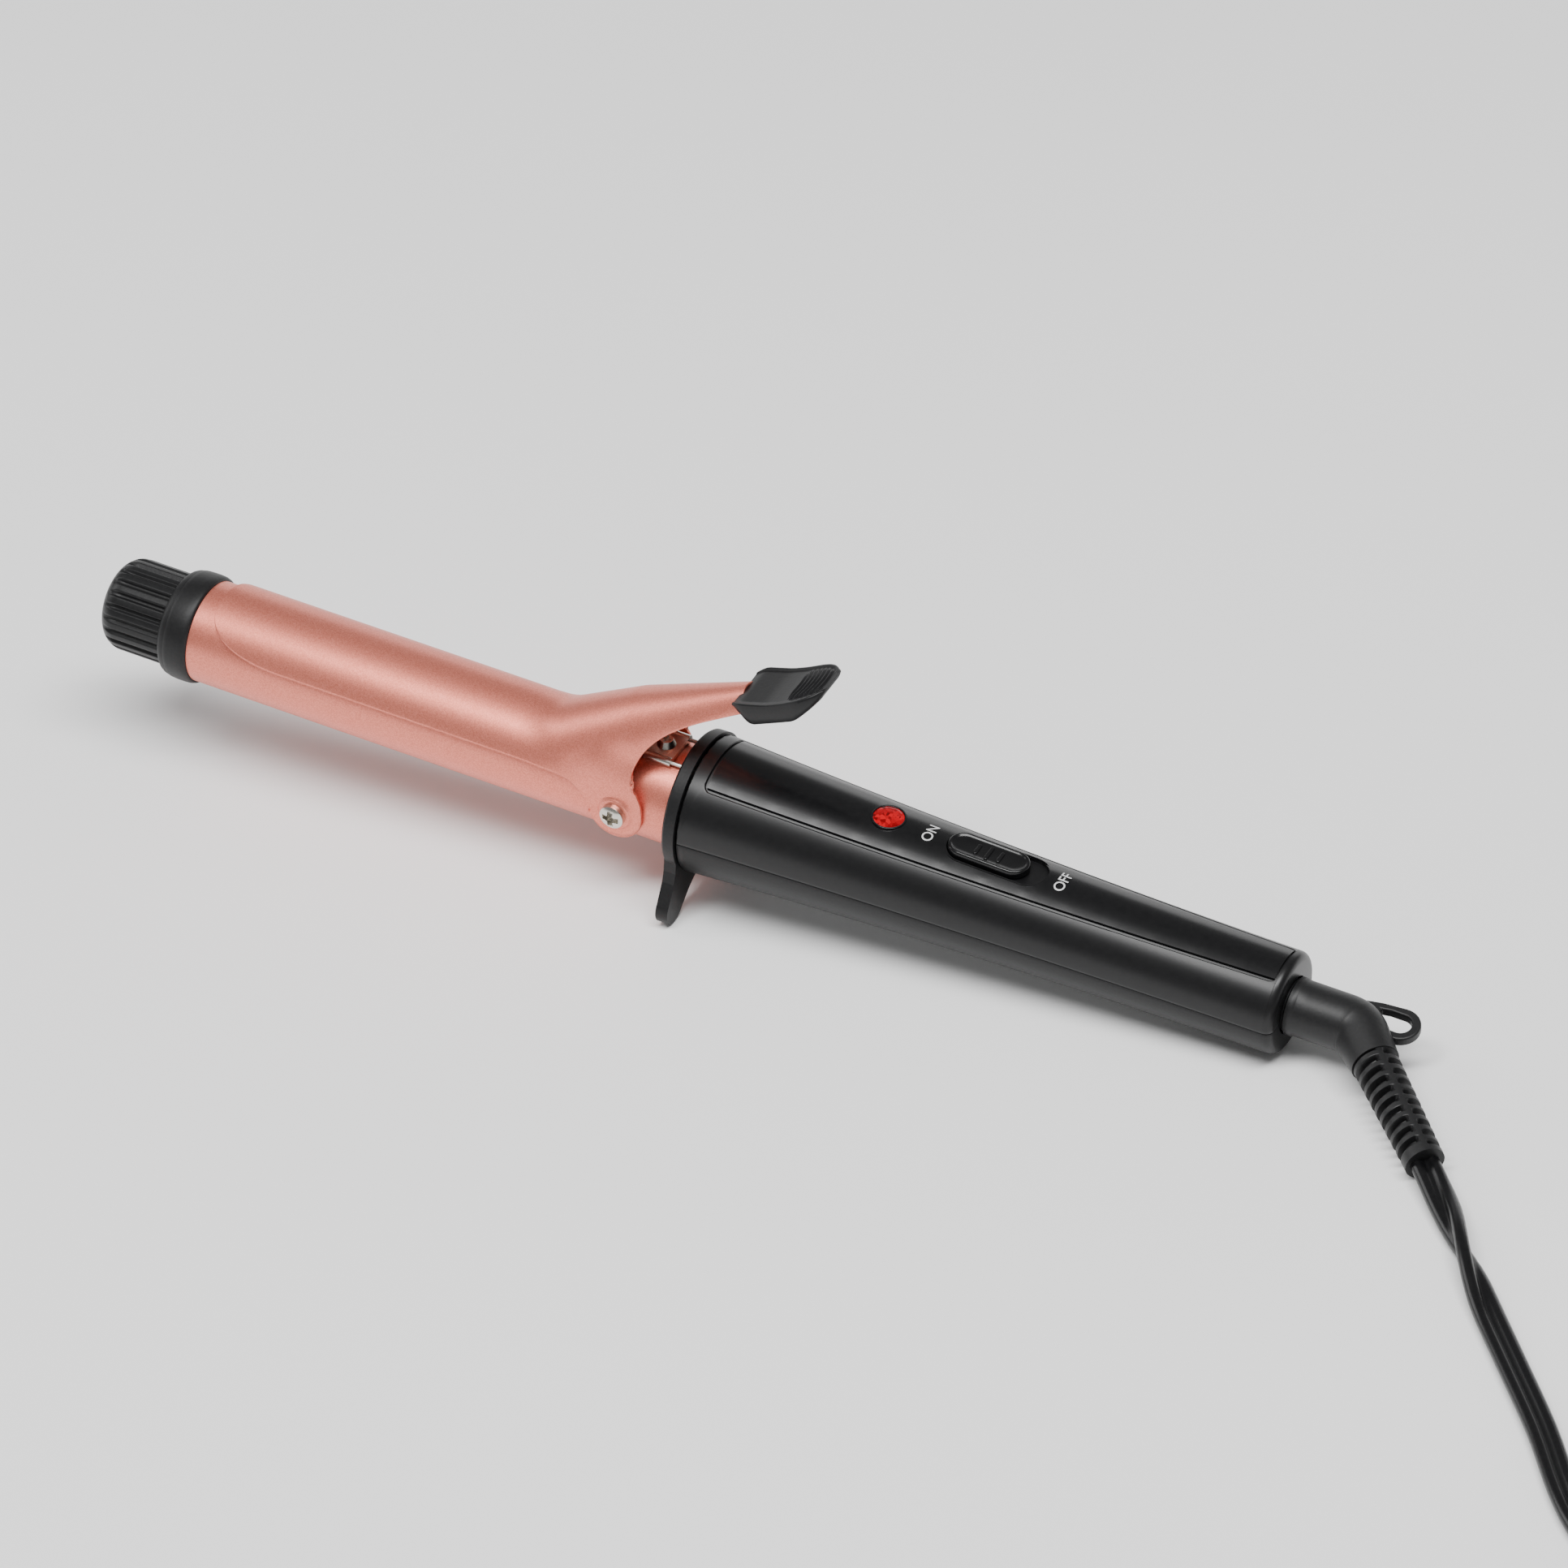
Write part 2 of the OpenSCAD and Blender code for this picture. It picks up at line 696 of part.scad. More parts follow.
module swivel_contacts() color([0.8, 0.65, 0.3])
    for (side = [-1, 1])
        translate([side > 0 ? 263.8 : 268.3, -1.5, side > 0 ? 5.6 : -8.6]) cube([1.6, 3, 3]);

// Frame of the bent half of the elbow: local X runs down the strain relief.
module bent()
    translate([elbow_x, 0, 0]) rotate([-elbow_turn, 0, 0]) rotate([0, elbow_bend, 0]) children();

// Profile of the elbow's cone and its ringed strain relief, as [x, radius] points.
function relief_ring_points(i) =
    let (pitch = (relief_len - cone_len) / relief_rings,
         x = cone_len + pitch * i,
         r = 4.75 - 0.85 * i / (relief_rings - 1))
        [[x, r - 1], [x + 0.9, r - 1.05], [x + 1.15, r], [x + pitch - 0.25, r - 0.05], [x + pitch, r - 1.1]];

module hang_loop()
    union() {
        translate([loop_x, 0, loop_z])
            rotate([90, 0, 0]) rotate([0, 0, -90]) rotate_extrude(angle = 180)
                translate([loop_half, 0]) circle(loop_bar_r, $fn = 32);
        translate([0, 0, loop_z + loop_half]) rod(loop_bar_r, 298, loop_x);
        translate([0, 0, loop_z - loop_half]) rod(loop_bar_r, 300, loop_x);
        side_plate(-loop_bar_r, loop_bar_r)
            polygon([[293.5, 5.2], [298, loop_z + loop_half + 1.05], [302.4, loop_z + loop_half], [303.4, loop_z], [302.5, 0], [296, 0]]);
    }

module cord_elbow() color([0.1, 0.1, 0.105])
    union() {
        turned([
            [262.5, 0], [262.5, 4], [272, 4], [272, 8], [274.8, 8], [274.8, neck_r],
            [elbow_x, neck_r], [elbow_x, 0]
        ]);
        translate([elbow_x, 0, 0]) sphere(neck_r + 0.05);
        bent() turned(concat(
            [[0, 0], [0, neck_r], [cone_len - 3, 5.3]],
            [for (i = [0:relief_rings - 1]) each relief_ring_points(i)],
            [[relief_len, 0]]
        ));
        rotate([-elbow_turn, 0, 0]) hang_loop();
    }

// ---- lead, coil and plug -----------------------------------------------------------------------

// Unit heading of the route on the table at point i.
function flat_unit(v) = let (n = norm([v[0], v[1]])) [v[0] / n, v[1] / n, 0];
function heading(i) = flat_unit(
    cord_route[min(i + 1, len(cord_route) - 1)] - cord_route[max(i - 1, 0)]);

cord_sides = 12;
// One ring of the lead: a flat oval with its width level, across the heading.
function cord_ring(i) =
    let (h = heading(i), across = [-h[1], h[0], 0])
        [for (k = [0:cord_sides - 1]) let (a = 360 * (k + 0.5) / cord_sides)
            cord_route[i] + across * (cord_w / 2 * cos(a)) + [0, 0, cord_t / 2 * sin(a)]];

module power_cord() color([0.06, 0.06, 0.06])
    skin([for (i = [0:len(cord_route) - 1]) cord_ring(i)]);

module cord_coil() color([0.06, 0.06, 0.06])
    union() {
        translate([coil_at[0], coil_at[1], 0])
            rotate_extrude() translate([coil_r - coil_half, 0]) square([2 * coil_half, coil_h]);
        translate([plug_x, coil_at[1], plug_z]) rotate([-90, 0, 0]) cylinder(r = cord_w / 2, h = tail_len);
    }

// Wire tie round the coil, on the side away from the iron.
module cord_tie() color([0.1, 0.1, 0.1])
    translate([coil_at[0], coil_at[1] + coil_r, 0]) rotate([0, 0, 90])
        difference() {
            translate([-coil_half - 1.2, -3, 0]) cube([2 * coil_half + 2.4, 6, coil_h + 1.3]);
            translate([-coil_half - 0.25, -4, -1]) cube([2 * coil_half + 0.5, 8, coil_h + 1.3]);
        }

module plug_body() color([0.06, 0.06, 0.06])
    translate([plug_x, plug_y, plug_z]) rotate([0, 0, 90])
        union() {
            rotate([0, 90, 0]) cylinder(r1 = 4, r2 = 5.2, h = 14);
            translate([12, 0, -plug_body_h / 2]) linear_extrude(plug_body_h)
                polygon([
                    [0, -7], [4, -10], [plug_body_len - 12, -plug_body_w / 2 + 4], [plug_body_len - 4, -plug_body_w / 2],
                    [plug_body_len, -plug_body_w / 2 + 2], [plug_body_len, plug_body_w / 2 - 2],
                    [plug_body_len - 4, plug_body_w / 2], [plug_body_len - 12, plug_body_w / 2 - 4], [4, 10], [0, 7]
                ]);
        }

module plug_pins() color([0.85, 0.85, 0.83])
    for (side = [-1, 1])
        translate([plug_x + side * pin_gap / 2, plug_y + 12 + plug_body_len + fit, plug_z])
            rotate([-90, 0, 0])
                union() {
                    cylinder(r = pin_r, h = pin_len - 1);
                    translate([0, 0, pin_len - 1]) cylinder(r1 = pin_r, r2 = pin_r - 0.7, h = 1);
                }

// ---- nodes -------------------------------------------------------------------------------------

rest() cool_tip();
rest() tip_collar();
rest() tip_screw();
rest() barrel();
rest() heat_spreader(1);  // heat_spreader_upper
rest() heat_spreader(-1);  // heat_spreader_lower
rest() heater_plate();
rest() thermal_fuse();
rest() heater_leads();
rest() barrel_bush();
rest() front_collar();
rest() pivot_nuts();
rest() pivot_screws();
rest() spring_bracket();
rest() bracket_screw();
rest() clamp_spring();
rest() clamp();
rest() thumb_rest();
rest() handle_upper();
rest() handle_lower();
rest() control_panel();
rest() indicator_lens();
rest() indicator_lamp();
rest() switch_button();
rest() switch_body();
rest() circuit_board();
rest() supply_leads();
rest() handle_screws();
rest() swivel_bush();
rest() slip_rings();
rest() swivel_contacts();
rest() cord_elbow();
power_cord();
cord_coil();
cord_tie();
plug_body();
plug_pins();
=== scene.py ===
"""Looks for the curling iron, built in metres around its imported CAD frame."""

import json
import math
import bmesh
import bpy
from mathutils import Matrix, Vector


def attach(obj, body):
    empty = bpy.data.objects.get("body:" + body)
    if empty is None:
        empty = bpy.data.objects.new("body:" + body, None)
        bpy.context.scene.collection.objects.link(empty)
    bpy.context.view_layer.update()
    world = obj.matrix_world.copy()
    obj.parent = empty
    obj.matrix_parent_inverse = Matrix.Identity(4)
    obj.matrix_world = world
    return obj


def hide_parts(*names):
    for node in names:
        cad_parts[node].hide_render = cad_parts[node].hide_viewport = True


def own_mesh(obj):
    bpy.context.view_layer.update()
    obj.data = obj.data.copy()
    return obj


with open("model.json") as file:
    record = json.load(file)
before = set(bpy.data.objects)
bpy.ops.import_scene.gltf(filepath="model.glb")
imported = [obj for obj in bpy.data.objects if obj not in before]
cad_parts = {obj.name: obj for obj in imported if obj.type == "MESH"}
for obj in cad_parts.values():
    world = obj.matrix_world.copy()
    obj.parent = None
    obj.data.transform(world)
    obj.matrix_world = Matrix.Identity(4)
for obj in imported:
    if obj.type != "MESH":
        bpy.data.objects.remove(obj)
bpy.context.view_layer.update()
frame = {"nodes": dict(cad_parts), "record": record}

# Sizes are in millimetres in the iron's own frame, as in part.scad; IRON lays them on the table in metres.
MM = 0.001
REST_TILT = 4.695
REST_AT = (-128.674, 0, 35.325)
IRON = (Matrix.Translation([MM * a for a in REST_AT])
        @ Matrix.Rotation(math.radians(REST_TILT), 4, "Y") @ Matrix.Scale(MM, 4))

BARREL_R = 12.5
BARREL_WALL = 0.7
BARREL_END = 147
TIP_R = 11.4
TIP_FRONT = -25.9
TIP_CORNER = 5
TIP_FLUTES = 22
COLLAR_LEN = 8.3
HANDLE_X = 133.8
HANDLE_LEN = 149.4
HANDLE_END = HANDLE_X + HANDLE_LEN
FRONT_R = 16.7
REAR_R = 12.35
REAR_ROUND = 2
REAR_HOLE_R = 7.0
SEAM_SINK = (0.28, 0.07, 0)
TAPER_POWER = 1.9
PANEL_X = 138.2
PANEL_END = 280.6
PANEL_FRONT_HALF = 9.4
PANEL_REAR_HALF = 5.4
LAMP_X = 180.4
SWITCH_X = 206.1
SWITCH_TRAVEL = 4.4
ELBOW_X = 299.3
NECK_R = 6.2
CONE_LEN = 11.5
RELIEF_LEN = 42.6
ELBOW_BEND = 45
ELBOW_TURN = 82
THUMB_AT = (143, 0, 36)
THUMB_TILT = 24


# ---- camera --------------------------------------------------------------------------------------

CAMERA_AT = (0.75975, -1.27647, 1.1993)
CAMERA_TURN = (51.623, 3.409, 27.221)
CAMERA_LENS = 186.34


def camera():
    data = bpy.data.cameras.new("camera")
    data.sensor_width = 36
    data.lens = CAMERA_LENS
    data.clip_end = 20
    obj = bpy.data.objects.new("camera", data)
    bpy.context.scene.collection.objects.link(obj)
    obj.location = CAMERA_AT
    obj.rotation_euler = [math.radians(a) for a in CAMERA_TURN]
    bpy.context.scene.camera = obj


camera()


# ---- materials -----------------------------------------------------------------------------------

def new_material(name):
    """A node material, its node tree and its shader."""
    mat = bpy.data.materials.new(name)
    mat.use_nodes = True
    tree = mat.node_tree
    return mat, tree, tree.nodes["Principled BSDF"]


def node(tree, kind, **inputs):
    made = tree.nodes.new(kind)
    for key, value in inputs.items():
        made.inputs[key.replace("_", " ")].default_value = value
    return made


def grain(tree, scale):
    """Fine noise in object space, as a 0 to 1 value."""
    where = tree.nodes.new("ShaderNodeTexCoord")
    noise = node(tree, "ShaderNodeTexNoise", Scale=scale, Detail=2.0)
    tree.links.new(where.outputs["Object"], noise.inputs["Vector"])
    return noise.outputs["Fac"]


def cells(tree, scale):
    """Small cells in object space, each with its own random colour: its red and its green."""
    where = tree.nodes.new("ShaderNodeTexCoord")
    made = node(tree, "ShaderNodeTexVoronoi", Scale=scale)
    tree.links.new(where.outputs["Object"], made.inputs["Vector"])
    tone = tree.nodes.new("ShaderNodeSeparateColor")
    tree.links.new(made.outputs["Color"], tone.inputs["Color"])
    return tone.outputs["Red"], tone.outputs["Green"]


def ramp(tree, fac, low, high, start=0.3, end=0.7):
    """A colour that runs from low to high as fac goes from start to end."""
    made = tree.nodes.new("ShaderNodeValToRGB")
    made.color_ramp.elements[0].position = start
    made.color_ramp.elements[0].color = (*low, 1)
    made.color_ramp.elements[1].position = end
    made.color_ramp.elements[1].color = (*high, 1)
    tree.links.new(fac, made.inputs["Fac"])
    return made.outputs["Color"]


def bump(tree, shader, fac, strength, distance=0.0001):
    """Roughens the shader's surface by fac."""
    made = node(tree, "ShaderNodeBump", Strength=strength, Distance=distance)
    tree.links.new(fac, made.inputs["Height"])
    tree.links.new(made.outputs["Normal"], shader.inputs["Normal"])


def plastic(name, low, high, roughness, grain_scale=900, strength=0.1, specular=0.5):
    """Moulded plastic or rubber: a faint mottle, a fine skin grain and a set roughness."""
    mat, tree, shader = new_material(name)
    fac = grain(tree, grain_scale)
    tree.links.new(ramp(tree, fac, low, high), shader.inputs["Base Color"])
    shader.inputs["Roughness"].default_value = roughness
    shader.inputs["Specular IOR Level"].default_value = specular
    bump(tree, shader, fac, strength)
    return mat


def black(name, low, high, roughness, grain_scale, strength, specular):
    """A black plastic, a touch blue."""
    blue = 0.0005
    return plastic(name, (low, low, low + blue), (high, high, high + blue), roughness, grain_scale, strength,
                   specular)


def metal(name, low, high, roughness):
    """Plain or plated metal with a faint grain."""
    mat, tree, shader = new_material(name)
    fac = grain(tree, 1500)
    tree.links.new(ramp(tree, fac, low, high), shader.inputs["Base Color"])
    shader.inputs["Metallic"].default_value = 1.0
    shader.inputs["Roughness"].default_value = roughness
    bump(tree, shader, fac, 0.05)
    return mat


def rose_gold():
    """Metallic paint: pink-gold base with fine flakes that catch the light one by one."""
    mat, tree, shader = new_material("rose_gold_paint")
    shade, tilt = cells(tree, 5200)
    colour = ramp(tree, shade, (0.72, 0.195, 0.135), (0.92, 0.3, 0.22), 0.0, 1.0)
    tree.links.new(colour, shader.inputs["Base Color"])
    shader.inputs["Metallic"].default_value = 0.85
    shader.inputs["Roughness"].default_value = 0.42
    shader.inputs["Coat Weight"].default_value = 0.12
    shader.inputs["Coat Roughness"].default_value = 0.22
    bump(tree, shader, tilt, 0.12, 0.00005)
    return mat


def red_lamp():
    """Lit red lens: facets inside that glow unevenly."""
    mat, tree, shader = new_material("lamp_lens")
    shade, tilt = cells(tree, 1100)
    glow = ramp(tree, shade, (0.1, 0.0, 0.001), (0.48, 0.0, 0.006), 0.0, 1.0)
    tree.links.new(glow, shader.inputs["Base Color"])
    tree.links.new(glow, shader.inputs["Emission Color"])
    shader.inputs["Emission Strength"].default_value = 0.2
    shader.inputs["Specular IOR Level"].default_value = 0.3
    shader.inputs["Roughness"].default_value = 0.12
    bump(tree, shader, tilt, 0.25, 0.0002)
    return mat


# One material for each of the record's slots, and one for the printed letters.
MATS = {
    "rose_gold": rose_gold(),
    "handle_gloss": black("handle_black", 0.004, 0.006, 0.34, 700, 0.02, 0.4),
    "panel_gloss": black("panel_black", 0.003, 0.005, 0.25, 700, 0.01, 0.42),
    "button_plastic": black("button_black", 0.003, 0.005, 0.24, 300, 0.005, 0.42),
    "charcoal_plastic": black("charcoal", 0.006, 0.009, 0.46, 1400, 0.25, 0.3),
    "dark_plastic": black("tip_black", 0.004, 0.007, 0.4, 1400, 0.25, 0.35),
    "grip_plastic": black("grip_black", 0.004, 0.006, 0.4, 1400, 0.2, 0.3),
    "cord_moulding": black("cord_moulding_black", 0.006, 0.009, 0.45, 1200, 0.2, 0.38),
    "cord_sheath": black("cord_black", 0.003, 0.005, 0.27, 900, 0.05, 0.35),
    "bush_plastic": plastic("bush_cream", (0.5, 0.48, 0.42), (0.6, 0.58, 0.52), 0.6),
    "board": plastic("board_green", (0.02, 0.12, 0.05), (0.03, 0.16, 0.07), 0.4),
    "lead_sleeve": plastic("lead_sleeve_cream", (0.6, 0.58, 0.52), (0.75, 0.73, 0.68), 0.8),
    "ceramic": plastic("ceramic_cream", (0.7, 0.66, 0.55), (0.8, 0.76, 0.65), 0.35),
    "nickel": metal("nickel_plate", (0.62, 0.59, 0.53), (0.72, 0.69, 0.63), 0.24),
    "spring_steel": metal("spring_wire", (0.5, 0.48, 0.44), (0.62, 0.6, 0.55), 0.3),
    "heat_aluminium": metal("aluminium", (0.6, 0.6, 0.62), (0.7, 0.7, 0.72), 0.4),
    "contact_brass": metal("brass", (0.6, 0.45, 0.2), (0.75, 0.57, 0.28), 0.35),
    "lamp_red": red_lamp(),
    "lamp_glass": plastic("neon_glass", (0.8, 0.35, 0.2), (0.9, 0.45, 0.3), 0.2),
    "lettering": plastic("lettering_grey", (0.62, 0.62, 0.62), (0.68, 0.68, 0.68), 0.5),
}


def paint_cad_nodes():
    """Gives every CAD node the material of its slot."""
    slots = {part["node"]: part["material_slot"] for part in frame["record"]["subparts"]}
    for name, obj in frame["nodes"].items():
        obj.data.materials.clear()
        obj.data.materials.append(MATS[slots[name]])


paint_cad_nodes()


# ---- mesh helpers --------------------------------------------------------------------------------

def piece(name, verts, faces, slot, body, nodes=(), place=IRON, sharp=35, bevel=0.0):
    """A mesh piece in its place, riding on a body and standing for its CAD nodes."""
    mesh = bpy.data.meshes.new(name)
    mesh.from_pydata([place @ Vector(v) for v in verts], [], faces)
    edit = bmesh.new()
    edit.from_mesh(mesh)
    bmesh.ops.remove_doubles(edit, verts=edit.verts, dist=1e-6)
    bmesh.ops.recalc_face_normals(edit, faces=edit.faces)
    edit.to_mesh(mesh)
    edit.free()
    mesh.materials.append(MATS[slot])
    obj = bpy.data.objects.new(name, mesh)
    bpy.context.scene.collection.objects.link(obj)
    mesh.shade_smooth()
    mesh.set_sharp_from_angle(angle=math.radians(sharp))
    if bevel:
        edge = obj.modifiers.new("edges", "BEVEL")
        edge.width = bevel * MM
        edge.segments = 3
        edge.limit_method = "ANGLE"
        edge.angle_limit = math.radians(sharp)
        edge.harden_normals = True
    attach(obj, body)
    if nodes:
        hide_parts(*nodes)
    return obj


def grid_faces(rows, columns, closed_rows=False, closed_columns=True):
    """Quads of a rows by columns grid of points, wrapped as asked."""
    faces = []
    for i in range(rows if closed_rows else rows - 1):
        for j in range(columns if closed_columns else columns - 1):
            i2 = (i + 1) % rows
            j2 = (j + 1) % columns
            faces.append((i * columns + j, i * columns + j2, i2 * columns + j2, i2 * columns + j))
    return faces


def capped(rings):
    """Points and faces of a closed solid through a row of equal rings."""
    count = len(rings[0])
    verts = [p for ring in rings for p in ring]
    faces = grid_faces(len(rings), count)
    faces.append(tuple(reversed(range(count))))
    faces.append(tuple(range(len(verts) - count, len(verts))))
    return verts, faces


def turned(profile, segments=128, closed=False, radius_at=None):
    """A solid turned about X from [x, r] points; radius_at may change r with the angle."""
    rings = []
    for x, r in profile:
        ring = []
        for j in range(segments):
            a = 2 * math.pi * j / segments
            rr = radius_at(x, r, a) if radius_at else r
            ring.append((x, rr * math.sin(a), rr * math.cos(a)))
        rings.append(ring)
    if closed:
        return [p for ring in rings for p in ring], grid_faces(len(rings), segments, closed_rows=True)
    return capped(rings)


def circle(r, z, count, shift=0.0):
    """A ring of points about Z, turned by a share of one step."""
    turns = [2 * math.pi * (j + shift) / count for j in range(count)]
    return [(r * math.cos(a), r * math.sin(a), z) for a in turns]


def arc(cx, cy, r, a0, a1, steps):
    """Points of a circle about (cx, cy) from angle a0 to a1, in degrees."""
    out = []
    for i in range(steps + 1):
        a = math.radians(a0 + (a1 - a0) * i / steps)
        out.append((cx + r * math.cos(a), cy + r * math.sin(a)))
    return out


def smooth(t):
    """0 below 0, 1 above 1 and an even rise between."""
    t = min(1.0, max(0.0, t))
    return t * t * (3 - 2 * t)


def spaced(a, b, count):
    """Even places from a to b, count steps apart."""
    return [a + (b - a) * i / count for i in range(count + 1)]


# ---- lead: swept along its route and round the coil ------------------------------------------------

# The same route as in part.scad, in metres.
CORD_ROUTE = [
    (0.1976, -0.0283, 0.0046), (0.1992, -0.0299, 0.0043), (0.2045, -0.0356, 0.0032), (0.210, -0.042, 0.0022),
    (0.216, -0.0495, 0.0018), (0.2235, -0.0585, 0.0018), (0.230, -0.0665, 0.0018), (0.242, -0.0805, 0.0018),
    (0.256, -0.097, 0.0018), (0.268, -0.113, 0.0018), (0.277, -0.1225, 0.0018), (0.2875, -0.1295, 0.0018),
    (0.300, -0.134, 0.0018), (0.310, -0.1355, 0.0018), (0.320, -0.1357, 0.0018),
]
CORD_W = 0.0070
LOBE_R = 0.0017
COIL_AT = (0.320, -0.090)
COIL_OUTER = 0.0457
COIL_INNER = 0.0383
LAYER = 0.0035
COIL_TURNS = 6.25
COIL_STEPS = 72
COIL_START = 1.5 * math.pi
COIL_CROSS = 0.22
# Place of each turn in the coil: ring radius and layer. Each turn crosses to the next in its last COIL_CROSS.
COIL_SLOTS = [(COIL_OUTER, 0), (COIL_INNER, 0), (COIL_INNER, 1), (COIL_OUTER, 1),
              (COIL_OUTER, 2), (COIL_INNER, 2), (COIL_OUTER, 3)]
ON_TABLE = 0.0018
PLUG_AT = Vector((0.3657, -0.062, 0.00685))
PLUG_NECK = 0.003
TWIST_START = 0.004
TWIST_LEN = 0.052


def catmull(points, per_span):
    """A smooth curve through the points."""
    pts = [Vector(p) for p in points]
    pts = [pts[0] * 2 - pts[1]] + pts + [pts[-1] * 2 - pts[-2]]
    out = []
    for i in range(1, len(pts) - 2):
        for k in range(per_span):
            t = k / per_span
            a, b, c, d = pts[i - 1], pts[i], pts[i + 1], pts[i + 2]
            out.append(0.5 * (2 * b + (c - a) * t + (2 * a - 5 * b + 4 * c - d) * t * t
                              + (3 * b - a - 3 * c + d) * t ** 3))
    out.append(pts[-2])
    return out


def coil_path():
    """Points of the coil, from where the route meets it to where the tail leaves it."""
    last = len(COIL_SLOTS) - 1
    out = []
    for i in range(1, int(COIL_TURNS * COIL_STEPS) + 1):
        turn, part = divmod(i / COIL_STEPS, 1.0)
        now = COIL_SLOTS[min(int(turn), last)]
        after = COIL_SLOTS[min(int(turn) + 1, last)]
        share = smooth((part - (1 - COIL_CROSS)) / COIL_CROSS)
        r = now[0] + (after[0] - now[0]) * share
        layer = now[1] + (after[1] - now[1]) * share
        a = COIL_START + 2 * math.pi * i / COIL_STEPS
        x = COIL_AT[0] + r * math.cos(a)
        y = COIL_AT[1] + r * math.sin(a)
        out.append(Vector((x, y, ON_TABLE + LAYER * layer)))
    return out


def tail_path():
    """The last straight length, rising from the coil to the middle of the plug."""
    start = coil_path()[-1]
    out = []
    for i in range(1, 11):
        t = i / 10
        p = start.lerp(PLUG_AT + Vector((0, PLUG_NECK, 0)), t)
        p.x = start.x + (PLUG_AT.x - start.x) * smooth(t)
        p.z = start.z + (PLUG_AT.z - start.z) * smooth(t)
        out.append(p)
    return out


def cord_path():
    """The whole lead: route, coil and tail."""
    return catmull(CORD_ROUTE, 4) + coil_path() + tail_path()


def lobe_section(width, radius, steps=12):
    """Outline of a flat two-core lead: two round lobes with a waist between."""
    centre = width / 2 - radius
    out = []
    for side in (1, -1):
        for i in range(steps + 1):
            a = math.radians(-150 + 300 * i / steps)
            out.append((side * (centre + radius * math.cos(a)), side * radius * math.sin(a)))
    return out


def sweep(path, section, twist):
    """Rings of a section along a path: level across, turned by twist(distance) about the heading."""
    rings = []
    gone = 0.0
    for i, p in enumerate(path):
        if i:
            gone += (p - path[i - 1]).length
        heading = (path[min(i + 1, len(path) - 1)] - path[max(i - 1, 0)]).normalized()
        across = Vector((-heading.y, heading.x, 0)).normalized()
        up = heading.cross(across)
        a = twist(gone)
        u = across * math.cos(a) + up * math.sin(a)
        v = up * math.cos(a) - across * math.sin(a)
        rings.append([p + u * x + v * y for x, y in section])
    return rings


def cord_twist(gone):
    """The lead leaves flat, turns over once on its edge and lies flat again."""
    return math.pi * smooth((gone - TWIST_START) / TWIST_LEN)


def cord():
    """The lead, lifted where it stands on its edge, and the path it follows."""
    path = cord_path()
    section = lobe_section(CORD_W, LOBE_R)
    lifted = []
    gone = 0.0
    for i, p in enumerate(path):
        if i:
            gone += (p - path[i - 1]).length
        lift = (CORD_W / 2 - LOBE_R) * abs(math.sin(cord_twist(gone))) * smooth(gone / 0.02)
        lifted.append(p + Vector((0, 0, lift)))
    verts, faces = capped(sweep(lifted, section, cord_twist))
    nodes = ("power_cord", "cord_coil")
    return piece("lead", verts, faces, "cord_sheath", "swivel", nodes, Matrix(), 60), lifted


CORD, CORD_PATH = cord()


# ---- tip, barrel -----------------------------------------------------------------------------------

FLUTE_DEPTH = 0.95
TIP_STEM_R = 8.5


def flute_radius(x, r, a):
    """Ridges run along the tip; the grooves fade out on its rounded front edge. The stem behind is plain."""
    if r <= TIP_STEM_R + 0.1:
        return r
    depth = FLUTE_DEPTH * smooth((x - TIP_FRONT - 1.2) / 4.2)
    wave = (a * TIP_FLUTES / (2 * math.pi)) % 1.0
    groove = smooth((0.24 - abs(wave - 0.5)) / 0.12)
    return r - depth * groove


def tip():
    """Tip cap: rounded front, flutes and a stem that goes into the collar."""
    front = arc(TIP_FRONT + TIP_CORNER, TIP_R - TIP_CORNER, TIP_CORNER, 180, 90, 14)
    rear = -COLLAR_LEN + 0.2
    profile = [(TIP_FRONT, 0.01), (TIP_FRONT, 3)] + front
    profile += [(x, TIP_R) for x in spaced(TIP_FRONT + TIP_CORNER + 1, rear, 8)]
    profile += [(rear, TIP_STEM_R), (-COLLAR_LEN - 2, TIP_STEM_R), (-COLLAR_LEN - 2, 0.01)]
    verts, faces = turned(profile, TIP_FLUTES * 14, radius_at=flute_radius)
    return piece("tip_cap", verts, faces, "dark_plastic", "handle", ("cool_tip", "tip_screw"), sharp=50)


def tip_ring():
    """Smooth collar behind the tip: a rounded front with a faint step, then a swelling to the barrel."""
    profile = [
        (-7.9, 9), (-8.2, 10.6), (-8.25, 11.5), (-8.05, 12.2), (-7.6, 12.75), (-6.9, 13.1), (-6.1, 13.25),
        (-5.9, 13.27), (-5.8, 13.36), (-5.0, 13.45), (-3.8, 13.5), (-2.4, 13.5), (-1.2, 13.42), (-0.5, 13.2),
        (-0.1, 12.9), (0, 12.6), (0, 11), (-1, 9),
    ]
    verts, faces = turned(profile, closed=True)
    return piece("tip_ring", verts, faces, "charcoal_plastic", "handle", ("tip_collar",), sharp=70)


def barrel():
    """The plain tube."""
    inside = BARREL_R - BARREL_WALL
    profile = [(0.05, inside), (0.05, BARREL_R), (BARREL_END, BARREL_R), (BARREL_END, inside)]
    verts, faces = turned(profile, 160, closed=True)
    return piece("barrel_tube", verts, faces, "rose_gold", "handle", ("barrel",))


tip()
tip_ring()
barrel()


# ---- handle ----------------------------------------------------------------------------------------

def handle_r(x):
    """The handle's radius: it tapers fast at the front and hardly at the rear."""
    left = 1 - min(1.0, max(0.0, (x - HANDLE_X) / HANDLE_LEN))
    return REAR_R + (FRONT_R - REAR_R) * left ** TAPER_POWER


